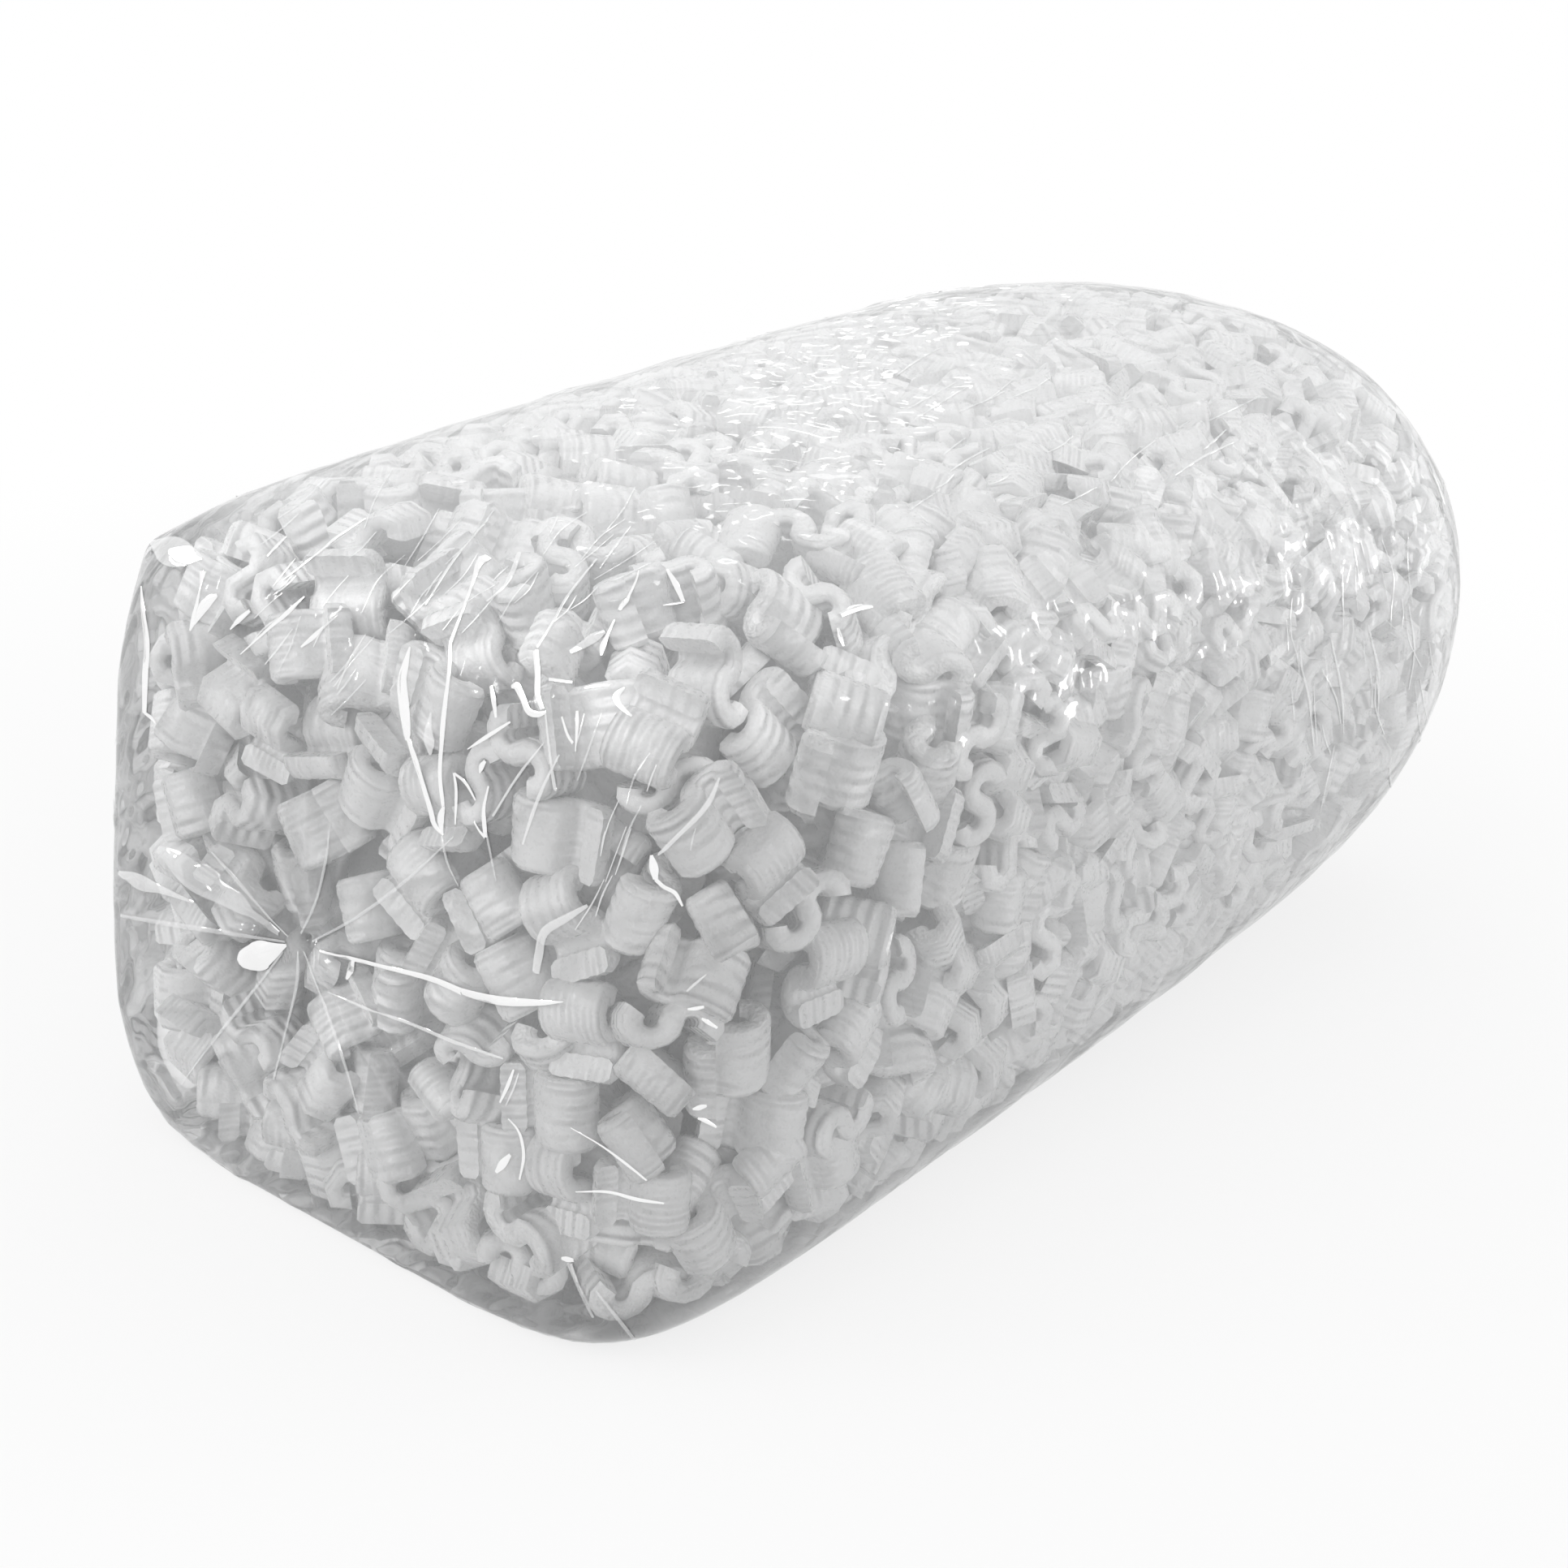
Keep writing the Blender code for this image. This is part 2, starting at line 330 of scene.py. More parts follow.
def hug_film(bag, places, spun, radii, free):
    """Moves each peanut that lies near the film until its outermost point touches it."""
    margin = radii.reshape(spun.shape[:2]) + FILM_GAP
    peanuts = np.arange(len(places))
    for _ in range(SETTLING_ROUNDS):
        centres = spun + places[:, None]
        spot, out = room_share(bag, centres.reshape(-1, 3), margin.ravel())
        out = out.reshape(spun.shape[:2])
        outermost = out.argmax(1)
        move = spot.reshape(spun.shape)[peanuts, outermost] * (1.0 / out[peanuts, outermost] - 1.0)[:, None]
        far_inside = (np.linalg.norm(move, axis=1) > HUG_REACH) & (out[peanuts, outermost] < 1.0)
        move[far_inside] = 0.0
        above = (centres[:, :, 2] - margin).min(1) + move[:, 2]
        move[:, 2] -= np.where(above < HUG_REACH, above, 0.0)
        places = places + move * free
    return places


def outward(bag, places):
    """The direction from the bag's middle line to its nearest side or end, longer near the film."""
    x, y, z = places.T
    share = (np.clip(x / (bag.length / 2.0), -1.0, 1.0) + 1.0) / 2.0
    half_width, half_height, middle, _ = section_at(bag, share)
    out = np.stack([(x / (bag.length / 2.0)) ** END_POWER, y / half_width, (z - middle) / half_height], 1)
    return out / (np.linalg.norm(out, axis=1)[:, None] + DRIFT_EASE)


def close_pairs(centres, owner, reach):
    """Index pairs of spheres of different peanuts that are closer than reach."""
    cell = np.floor((centres - centres.min(0)) / reach).astype(np.int64) + 1
    size = cell.max(0) + 2
    key = (cell[:, 0] * size[1] + cell[:, 1]) * size[2] + cell[:, 2]
    order = np.argsort(key, kind="stable")
    sorted_key = key[order]
    steps = [(i, j, k) for i in (0, 1) for j in (-1, 0, 1) for k in (-1, 0, 1) if (i, j, k) >= (0, 0, 0)]
    firsts = []
    seconds = []
    for i, j, k in steps:
        beside = sorted_key + (i * size[1] + j) * size[2] + k
        low = np.searchsorted(sorted_key, beside, side="left")
        count = np.searchsorted(sorted_key, beside, side="right") - low
        first = np.repeat(np.arange(len(order)), count)
        run_start = np.repeat(low - np.cumsum(count) + count, count)
        second = np.arange(len(first)) + run_start
        if (i, j, k) == (0, 0, 0):
            first, second = first[first < second], second[first < second]
        firsts.append(order[first])
        seconds.append(order[second])
    first = np.concatenate(firsts)
    second = np.concatenate(seconds)
    apart = ((centres[first] - centres[second]) ** 2).sum(1)
    keep = (owner[first] != owner[second]) & (apart < reach ** 2)
    return first[keep], second[keep]


def quaternion_product(a, b):
    aw, ax, ay, az = a.T
    bw, bx, by, bz = b.T
    return np.stack([
        aw * bw - ax * bx - ay * by - az * bz,
        aw * bx + ax * bw + ay * bz - az * by,
        aw * by - ax * bz + ay * bw + az * bx,
        aw * bz + ax * by - ay * bx + az * bw,
    ], 1)


def rotation_matrices(turns):
    w, x, y, z = turns.T
    return np.stack([
        np.stack([1 - 2 * (y * y + z * z), 2 * (x * y - w * z), 2 * (x * z + w * y)], 1),
        np.stack([2 * (x * y + w * z), 1 - 2 * (x * x + z * z), 2 * (y * z - w * x)], 1),
        np.stack([2 * (x * z - w * y), 2 * (y * z + w * x), 1 - 2 * (x * x + y * y)], 1),
    ], 1)


def summed(owner, values, count):
    """The sum of each peanut's rows."""
    return np.stack([np.bincount(owner, values[:, axis], count) for axis in range(3)], 1)


def pour_peanuts(bag, peanut, fixed_places, fixed_turns):
    """Places, turns and scales of all the peanuts. The fixed ones come first and stay where they are, and the
    others start anywhere and are pushed by each other and by the film until they hardly overlap."""
    draw = np.random.default_rng(peanut.seed)
    line = strip_line(peanut, HOOK, FLATTENING, STRIP_STOPS)
    body = np.array([(x, y, z) for z in WIDTH_STOPS for x, y in line])
    wanted = peanut.count - len(fixed_places)
    low = np.array(FILM_BOX[0])
    high = np.array(FILM_BOX[1])
    tries = draw.uniform(low, high, (wanted * TRIES_FOR_EACH, 3))
    inside = np.abs(back_into_room(bag, tries, peanut.strip)).sum(1) == 0.0
    places = np.concatenate([fixed_places, tries[inside][:wanted]])
    turns = draw.normal(size=(len(places), 4))
    turns /= np.linalg.norm(turns, axis=1)[:, None]
    turns[:len(fixed_turns)] = fixed_turns
    free = np.ones((len(places), 1))
    free[:len(fixed_places)] = 0.0
    scales = draw.uniform(*SCALE_RANGE, len(places))
    scales[:len(fixed_places)] = 1.0
    owner = np.repeat(np.arange(len(places)), len(body))
    radii = SPHERE_RADIUS * scales[owner]
    inertia = (body ** 2).sum(1).mean()
    for number in range(PACKING_ROUNDS):
        spun = np.einsum("nij,kj->nki", rotation_matrices(turns) * scales[:, None, None], body).reshape(-1, 3)
        centres = spun + places[owner]
        if number % ROUNDS_BETWEEN_SEARCHES == 0:
            first, second = close_pairs(centres, owner, 2.0 * SPHERE_RADIUS + SEARCH_MARGIN)
        gap = centres[first] - centres[second]
        apart = np.sqrt((gap ** 2).sum(1)) + 1e-9
        over = radii[first] + radii[second] - apart
        hit = over > 0.0
        push = gap[hit] * (0.5 * over[hit] / apart[hit])[:, None]
        move = summed(first[hit], push, len(centres)) - summed(second[hit], push, len(centres))
        move += back_into_room(bag, centres, radii + FILM_GAP)
        touched = (np.abs(move).sum(1) > 0.0).astype(float)
        share = 1.0 / np.maximum(np.bincount(owner, touched, len(places)), 1.0)[:, None] * free
        places = places + summed(owner, move, len(places)) * share * OVER_RELAXATION
        drift = OUTWARD_DRIFT * max(0.0, 1.0 - number / DRIFT_ROUNDS)
        places = places + outward(bag, places) * drift * free
        turn = summed(owner, np.cross(spun, move), len(places)) / inertia * share * TURN_SHARE
        half_turn = np.concatenate([np.ones((len(places), 1)), turn / 2.0], 1)
        turns = quaternion_product(half_turn, turns)
        turns /= np.linalg.norm(turns, axis=1)[:, None]
    spun = np.einsum("nij,kj->nki", rotation_matrices(turns) * scales[:, None, None], body)
    return hug_film(bag, places, spun, radii, free), turns, scales


# Modelling one peanut: its ribs, its rims, and its curls as (hook, flattening, twist)

RIBS = 5
RIM_THICKNESS = 0.62
RIM_ROUNDING = 0.24
SHARP_ANGLE = math.radians(62.0)
CURLS = ((40, 0.80, 0), (52, 0.84, 14), (24, 0.74, -12), (46, 0.88, 8), (34, 0.86, -18))
RIBBED_CURLS = 3


def rim_profile(stops, ribs, peanut):
    """(height across the width, strip thickness there) for each stop: rounded rims, and ribs between them."""
    profile = []
    for stop in range(stops + 1):
        share = stop / stops
        rim = min(share, 1.0 - share)
        thickness = peanut.strip * (RIM_THICKNESS if rim == 0.0 else 1.0)
        place = (share - 0.5) * peanut.width
        if stop in (1, stops - 1):
            place = math.copysign(0.5 * peanut.width - RIM_ROUNDING * peanut.strip, place)
        elif rim > 0.0:
            thickness += peanut.rib * (math.cos(math.tau * ribs * share) if ribs else 1.0)
        profile.append((place, thickness))
    return profile


def model_peanut(peanut, curl, steps, stops, ribs=0):
    """One peanut, modelled once: the strip's section, spun round the first lobe and round the second."""
    hook, flattening, twist = curl
    radius = (peanut.length - peanut.strip) / 4.0
    sweep = math.pi + math.radians(hook)
    bpy.ops.object.select_all(action="DESELECT")
    bpy.ops.mesh.primitive_plane_add(size=1.0, rotation=(math.pi / 2.0, 0.0, 0.0))
    piece = bpy.context.object
    pick_only(piece)
    bpy.ops.object.transform_apply(location=True, rotation=True, scale=True)
    bpy.ops.object.mode_set(mode="EDIT")
    bpy.ops.mesh.delete(type="ONLY_FACE")
    bpy.ops.mesh.select_mode(type="EDGE")
    bpy.ops.mesh.select_all(action="DESELECT")
    bpy.ops.object.mode_set(mode="OBJECT")
    for edge in piece.data.edges:
        ends = [piece.data.vertices[index].co for index in edge.vertices]
        edge.select = abs(ends[0].x - ends[1].x) < 0.5
    bpy.ops.object.mode_set(mode="EDIT")
    bpy.ops.mesh.subdivide(number_cuts=stops - 1)
    bpy.ops.object.mode_set(mode="OBJECT")
    profile = rim_profile(stops, ribs, peanut)
    for vertex in piece.data.vertices:
        place, thickness = profile[round((vertex.co.z + 0.5) * stops)]
        vertex.co = (math.copysign(thickness / 2.0, vertex.co.x), 0.0, place)
    ring = len(piece.data.vertices)
    bpy.ops.object.mode_set(mode="EDIT")
    bpy.ops.mesh.select_mode(type="VERT")
    for middle in (-radius, radius):
        bpy.ops.mesh.select_all(action="DESELECT")
        bpy.ops.object.mode_set(mode="OBJECT")
        for vertex in piece.data.vertices[:ring]:
            vertex.select = True
        bpy.ops.object.mode_set(mode="EDIT")
        bpy.ops.mesh.spin(steps=steps, angle=-sweep, center=(middle, 0.0, 0.0), axis=(0.0, 0.0, 1.0))
    bpy.ops.mesh.select_all(action="SELECT")
    bpy.ops.mesh.fill_holes(sides=0)
    bpy.ops.transform.resize(value=(1.0, flattening, 1.0))
    bpy.ops.mesh.select_all(action="SELECT")
    bpy.ops.mesh.normals_make_consistent(inside=False)
    bpy.ops.object.mode_set(mode="OBJECT")
    if twist:
        wring = piece.modifiers.new("wring", "SIMPLE_DEFORM")
        wring.deform_method = "TWIST"
        wring.deform_axis = "X"
        wring.angle = math.radians(twist)
        bpy.ops.object.modifier_apply(modifier=wring.name)
    return piece


def copies_of(models, choice, places, matrices, scales, name, draw):
    """One piece that holds a copy of a modelled peanut at each place."""
    points, corners, totals, grain, across, tone = [], [], [], [], [], []
    offset = 0
    for index in range(len(places)):
        mesh = models[choice[index]].data
        own = coordinates(mesh) * scales[index]
        points.append(own @ matrices[index].T + places[index])
        loops = np.empty(len(mesh.loops), np.int64)
        mesh.loops.foreach_get("vertex_index", loops)
        sizes = np.empty(len(mesh.polygons), np.int64)
        mesh.polygons.foreach_get("loop_total", sizes)
        corners.append(loops + offset)
        totals.append(sizes)
        grain.append(own + draw.uniform(-1.0, 1.0, 3))
        across.append(own[:, 2])
        tone.append(np.full(len(own), draw.uniform()))
        offset += len(own)
    mesh = bpy.data.meshes.new(name)
    corners = np.concatenate(corners)
    totals = np.concatenate(totals)
    mesh.vertices.add(offset)
    mesh.loops.add(len(corners))
    mesh.polygons.add(len(totals))
    mesh.vertices.foreach_set("co", np.concatenate(points).ravel())
    mesh.loops.foreach_set("vertex_index", corners)
    mesh.polygons.foreach_set("loop_start", np.cumsum(totals) - totals)
    mesh.update(calc_edges=True)
    mesh.shade_smooth()
    mesh.set_sharp_from_angle(angle=SHARP_ANGLE)
    own_place = mesh.attributes.new("grain", "FLOAT_VECTOR", "POINT")
    own_place.data.foreach_set("vector", np.concatenate(grain).ravel())
    mesh.attributes.new("across", "FLOAT", "POINT").data.foreach_set("value", np.concatenate(across))
    mesh.attributes.new("tone", "FLOAT", "POINT").data.foreach_set("value", np.concatenate(tone))
    piece = bpy.data.objects.new(name, mesh)
    bpy.context.scene.collection.objects.link(piece)
    return piece


def principal_axes(points):
    middle = points.mean(0)
    _, axes = np.linalg.eigh(np.cov((points - middle).T))
    return middle, axes


def pose_of_node(name, template):
    """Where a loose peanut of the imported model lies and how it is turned, found by matching its corners."""
    points = np.unique(np.round(coordinates(frame["nodes"][name].data), 6), axis=0)
    middle, axes = principal_axes(points)
    own_middle, own_axes = principal_axes(template)
    best = None
    for signs in ((1, 1), (1, -1), (-1, 1), (-1, -1)):
        turned = axes * np.array([*signs, 1.0])
        turned[:, 2] *= np.sign(np.linalg.det(turned) * np.linalg.det(own_axes))
        matrix = turned @ own_axes.T
        moved = (template - own_middle) @ matrix.T + middle
        error = np.sqrt(((moved[:, None] - points[None]) ** 2).sum(2)).min(1).max()
        if best is None or error < best[0]:
            best = (error, matrix, middle - matrix @ own_middle)
    return best


NODE_STEPS = 3
NODE_SWELLS = (0.0, 0.0010, 0.0)


def node_template(peanut):
    """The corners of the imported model's loose peanuts, about their own middle."""
    line = strip_line(peanut, HOOK, FLATTENING, NODE_STEPS)
    radius = (peanut.length - peanut.strip) / 4.0
    points = []
    for stop, swell in enumerate(NODE_SWELLS):
        z = (stop / (len(NODE_SWELLS) - 1) - 0.5) * peanut.width
        for index, (x, y) in enumerate(line):
            lobe = -1.0 if index <= NODE_STEPS else 1.0
            sideways = np.array([x - lobe * radius, y / FLATTENING])
            sideways /= np.linalg.norm(sideways)
            half = peanut.strip / 2.0 + swell
            for side in (half, -half):
                points.append((x + sideways[0] * side, y + sideways[1] * side, z))
    return np.array(points)


# The film's creases, each drawn with a painted glint: (how bright its painted glint is, points as across, down
# and width in the photograph's pixels)

# How bright each crease's painted glint is
BRIGHT = 1.0
DULL = 0.55
FAINT = 0.28
CREASES = (
    (BRIGHT, ((175, 722, 3), (178, 760, 8), (182, 792, 9), (180, 830, 9), (179, 878, 6))),
    (BRIGHT, ((179, 878, 3), (187, 884, 4), (193, 891, 2))),
    (BRIGHT, ((251, 704, 9), (248, 722, 3), (244, 742, 4), (240, 762, 7), (235, 777, 2))),
    (BRIGHT, ((269, 733, 3), (259, 740, 10), (249, 751, 11), (240, 768, 4))),
    (BRIGHT, ((450, 640, 2), (415, 663, 4), (395, 680, 3), (350, 715, 1))),
    (BRIGHT, ((353, 662, 2), (342, 673, 4), (330, 686, 2))),
    (BRIGHT, ((376, 735, 2), (355, 755, 5), (335, 772, 3), (297, 806, 1))),
    (BRIGHT, ((309, 752, 3), (295, 764, 5), (285, 775, 2))),
    (BRIGHT, ((400, 772, 2), (388, 784, 5), (372, 797, 2))),
    (DULL, ((602, 640, 2), (560, 690, 3), (525, 746, 2))),
    (BRIGHT, ((598, 688, 13), (590, 697, 7), (585, 712, 4), (577, 735, 3), (565, 768, 4), (556, 792, 5))),
    (BRIGHT, (
        (556, 792, 4), (554, 830, 5), (549, 870, 5), (546, 900, 6), (543, 950, 5), (546, 985, 5),
        (548, 1002, 2))),
    (BRIGHT, ((548, 993, 3), (544, 1009, 9), (546, 1028, 3))),
    (BRIGHT, ((506, 797, 2), (500, 820, 9), (496, 838, 13), (499, 870, 14), (502, 900, 11), (503, 912, 7))),
    (BRIGHT, ((503, 908, 6), (512, 935, 7), (523, 970, 6), (532, 1000, 7), (536, 1015, 6), (547, 1029, 2))),
    (DULL, ((532, 878, 2), (529, 900, 9), (530, 915, 12), (531, 930, 3))),
    (BRIGHT, ((560, 952, 3), (563, 975, 4), (562, 1016, 2))),
    (BRIGHT, ((561, 953, 3), (575, 965, 4), (587, 986, 2))),
    (BRIGHT, ((603, 968, 2), (597, 997, 5), (599, 1031, 5))),
    (BRIGHT, ((599, 1031, 5), (592, 1024, 3), (585, 1012, 2))),
    (BRIGHT, ((606, 845, 4), (609, 862, 6), (612, 884, 3))),
    (BRIGHT, ((661, 802, 6), (663, 830, 6), (663, 855, 6), (669, 874, 5))),
    (BRIGHT, ((631, 846, 3), (638, 846, 8), (645, 860, 7), (652, 876, 7), (663, 880, 6), (674, 877, 3))),
    (BRIGHT, ((577, 923, 1), (600, 908, 4), (630, 889, 2))),
    (DULL, ((673, 880, 2), (678, 925, 3), (684, 968, 4), (687, 972, 2))),
    (DULL, ((671, 915, 1), (640, 955, 3), (608, 1005, 2))),
    (DULL, ((690, 930, 2), (672, 965, 3), (658, 1000, 4), (645, 1040, 2))),
    (BRIGHT, ((599, 937, 3), (594, 945, 6), (592, 952, 2))),
    (DULL, ((640, 682, 4), (632, 705, 5), (620, 725, 4), (600, 742, 2))),
    (DULL, ((735, 690, 2), (700, 735, 3), (680, 770, 3), (662, 798, 3))),
    (BRIGHT, ((787, 704, 1), (784, 716, 2), (775, 735, 3), (770, 742, 7), (763, 753, 3))),
    (BRIGHT, ((757, 765, 2), (748, 785, 4), (743, 797, 6), (741, 809, 2))),
    (DULL, ((745, 779, 5), (733, 786, 11), (718, 796, 9), (703, 804, 5))),
    (BRIGHT, ((677, 837, 3), (690, 839, 3), (706, 841, 3))),
    (BRIGHT, ((721, 848, 2), (734, 846, 3), (752, 845, 2))),
    (BRIGHT, ((770, 848, 2), (760, 858, 7), (765, 870, 5), (779, 883, 2))),
    (BRIGHT, ((693, 883, 2), (700, 905, 3), (707, 916, 3))),
    (BRIGHT, ((712, 876, 3), (712, 892, 4), (710, 926, 1))),
    (DULL, ((886, 958, 2), (875, 985, 5), (860, 1005, 5), (840, 1025, 4), (820, 1045, 4), (811, 1053, 2))),
    (BRIGHT, ((803, 1053, 3), (806, 1068, 9), (808, 1083, 5))),
    (BRIGHT, ((808, 1083, 4), (818, 1092, 4), (832, 1100, 4), (841, 1116, 2))),
    (BRIGHT, ((822, 703, 3), (832, 720, 6), (842, 743, 4))),
    (BRIGHT, ((842, 743, 3), (830, 745, 4), (817, 747, 1))),
    (DULL, ((1074, 748, 3), (1055, 750, 8), (1035, 759, 5))),
    (BRIGHT, ((1032, 775, 3), (1035, 786, 6), (1039, 797, 3))),
    (DULL, ((725, 1115, 3), (700, 1130, 7), (672, 1148, 9), (665, 1175, 10), (661, 1198, 8))),
    (BRIGHT, (
        (354, 1164, 2), (344, 1168, 10), (326, 1174, 25), (316, 1179, 27), (300, 1181, 17), (295, 1182, 9))),
    (BRIGHT, ((395, 1172, 2), (430, 1180, 4), (470, 1190, 4), (530, 1205, 6), (570, 1222, 8))),
    (BRIGHT, ((560, 1218, 6), (590, 1227, 8), (620, 1233, 9), (665, 1235, 6), (695, 1234, 1))),
    (BRIGHT, ((437, 1182, 4), (433, 1194, 9), (428, 1206, 4))),
    (DULL, ((405, 1222, 1), (456, 1244, 3), (504, 1260, 3), (562, 1284, 4), (621, 1304, 2))),
    (BRIGHT, ((634, 1317, 2), (627, 1336, 4), (617, 1358, 2))),
    (DULL, ((640, 1322, 1), (634, 1340, 2), (624, 1362, 1))),
    (BRIGHT, ((627, 1378, 2), (637, 1389, 3), (643, 1402, 4), (646, 1425, 4), (641, 1453, 2))),
    (BRIGHT, ((612, 1444, 3), (620, 1434, 8), (630, 1422, 3))),
    (BRIGHT, ((704, 1389, 1), (740, 1410, 2), (770, 1432, 3), (797, 1454, 2))),
    (BRIGHT, ((710, 1468, 1), (750, 1468, 3), (785, 1477, 4), (818, 1482, 2))),
    (BRIGHT, ((847, 1243, 2), (857, 1242, 4), (867, 1240, 3))),
    (DULL, ((870, 1200, 1), (859, 1209, 3), (846, 1221, 2))),
    (BRIGHT, ((864, 1254, 2), (872, 1259, 4), (883, 1266, 2))),
    (BRIGHT, ((853, 1366, 2), (862, 1364, 6), (870, 1362, 3))),
    (BRIGHT, ((859, 1377, 2), (868, 1380, 4), (882, 1388, 2))),
    (BRIGHT, ((693, 1550, 3), (700, 1551, 6), (708, 1552, 3))),
    (DULL, ((704, 1556, 3), (710, 1575, 4), (718, 1597, 2))),
    (FAINT, ((196, 1046, 8), (235, 1074, 30), (285, 1106, 20), (345, 1150, 5))),
    (DULL, ((148, 1076, 5), (172, 1086, 16), (200, 1096, 8), (240, 1112, 2))),
    (DULL, ((187, 668, 3), (206, 677, 26), (226, 684, 25), (250, 688, 3))),
    (FAINT, ((150, 1128, 3), (220, 1140, 5), (300, 1152, 4), (352, 1160, 2))),
    (FAINT, ((262, 1050, 2), (290, 1082, 4), (325, 1122, 3), (356, 1154, 2))),
    (FAINT, ((372, 1150, 2), (390, 1110, 3), (402, 1060, 3), (408, 1015, 1))),
    (FAINT, ((368, 1172, 2), (366, 1215, 4), (352, 1275, 4), (338, 1330, 2))),
    (FAINT, ((375, 1172, 2), (405, 1250, 4), (430, 1325, 3), (448, 1390, 1))),
    (FAINT, ((350, 1172, 2), (310, 1225, 4), (262, 1285, 3), (225, 1335, 1))),
    (FAINT, ((386, 1160, 2), (440, 1130, 3), (500, 1085, 3), (560, 1030, 1))),
    (FAINT, ((597, 1010, 2), (605, 1050, 3), (612, 1085, 1))),
    (FAINT, ((545, 1030, 2), (552, 1062, 3), (566, 1092, 1))),
    (FAINT, ((700, 1555, 3), (716, 1590, 5), (731, 1622, 3))),
    (FAINT, ((735, 1590, 2), (760, 1622, 4), (786, 1655, 3))),
    (FAINT, ((1600, 812, 2), (1612, 860, 4), (1618, 920, 2))),
    (FAINT, ((1640, 790, 2), (1652, 850, 4), (1655, 905, 2))),
    (FAINT, ((1685, 770, 2), (1698, 830, 4), (1697, 880, 2))),
    (FAINT, ((1735, 745, 2), (1742, 800, 4), (1735, 850, 2))),
)


# Fine stretch lines, drawn as creases with a painted glint: the corners of a patch in the photograph's pixels,
# how many, and their slant

STRETCH_PATCHES = (
    (330, 610, 780, 760, 34, -46.0),
    (300, 760, 560, 900, 10, -52.0),
    (1580, 700, 1770, 960, 30, 84.0),
    (1120, 430, 1560, 640, 18, -30.0),
    (640, 900, 860, 1120, 12, -70.0),
)
SLANT_SPREAD = 7.0
STRETCH_REACH = (14.0, 46.0)
STRETCH_WIDTH = (1.0, 2.4)
STRETCH_BOW = 0.08


def stretch_lines(draw):
    """Thin faint creases with a faint or dull painted glint, all much the same way in each patch."""
    lines = []
    for left, top, right, bottom, count, slant in STRETCH_PATCHES:
        for _ in range(count):
            across = draw.uniform(left, right)
            down = draw.uniform(top, bottom)
            angle = math.radians(slant + draw.normal(0.0, SLANT_SPREAD))
            reach = draw.uniform(*STRETCH_REACH)
            step = np.array([math.cos(angle), math.sin(angle)]) * reach
            bow = np.array([-step[1], step[0]]) * draw.normal(0.0, STRETCH_BOW)
            start = (across - step[0], down - step[1], 1.0)
            end = (across + step[0], down + step[1], 1.0)
            shine = float(draw.choice((FAINT, DULL)))
            middle = (across + bow[0], down + bow[1], draw.uniform(*STRETCH_WIDTH))
            lines.append((shine, (start, middle, end)))
    return lines


def smooth_line(points, steps):
    """The points of a smooth line through the given ones, evenly spread over their spans."""
    points = np.array(points, float)
    spots = np.linspace(0.0, len(points) - 1.0, steps)
    low = np.minimum(spots.astype(int), len(points) - 2)
    part = (spots - low)[:, None]
    padded = np.concatenate([2.0 * points[:1] - points[1:2], points, 2.0 * points[-1:] - points[-2:-1]])
    a, b, c, d = (padded[low + shift] for shift in range(4))
    return 0.5 * (
        2.0 * b + (c - a) * part + (2.0 * a - 5.0 * b + 4.0 * c - d) * part ** 2
        + (3.0 * b - a - 3.0 * c + d) * part ** 3)


# Finishes

def new_material(name):
    made = bpy.data.materials.new(name)
    made.use_nodes = True
    made.node_tree.nodes.clear()
    return made, made.node_tree.nodes, made.node_tree.links


def node(nodes, kind, **values):
    """A shader node with some of its settings or sockets set by name."""
    made = nodes.new(kind)
    for key, value in values.items():
        if key in made.inputs:
            made.inputs[key].default_value = value
        else:
            setattr(made, key, value)
    return made


def remap(nodes, low, high, to_low=0.0, to_high=1.0, kind="LINEAR"):
    """A Map Range node."""
    made = node(nodes, "ShaderNodeMapRange", interpolation_type=kind)
    for key, value in (("From Min", low), ("From Max", high), ("To Min", to_low), ("To Max", to_high)):
        made.inputs[key].default_value = value
    return made


def math_node(nodes, operation, second=None):
    """A Math node, with its second number set where one is given."""
    made = node(nodes, "ShaderNodeMath", operation=operation)
    if second is not None:
        made.inputs[1].default_value = second
    return made


def wire(links, *joins):
    """Joins sockets, each join given as a node, its output, the next node and its input."""
    for start, output, end, entry in joins:
        links.new(start.outputs[output], end.inputs[entry])


CUT_FACES = (0.0122, 0.0132)


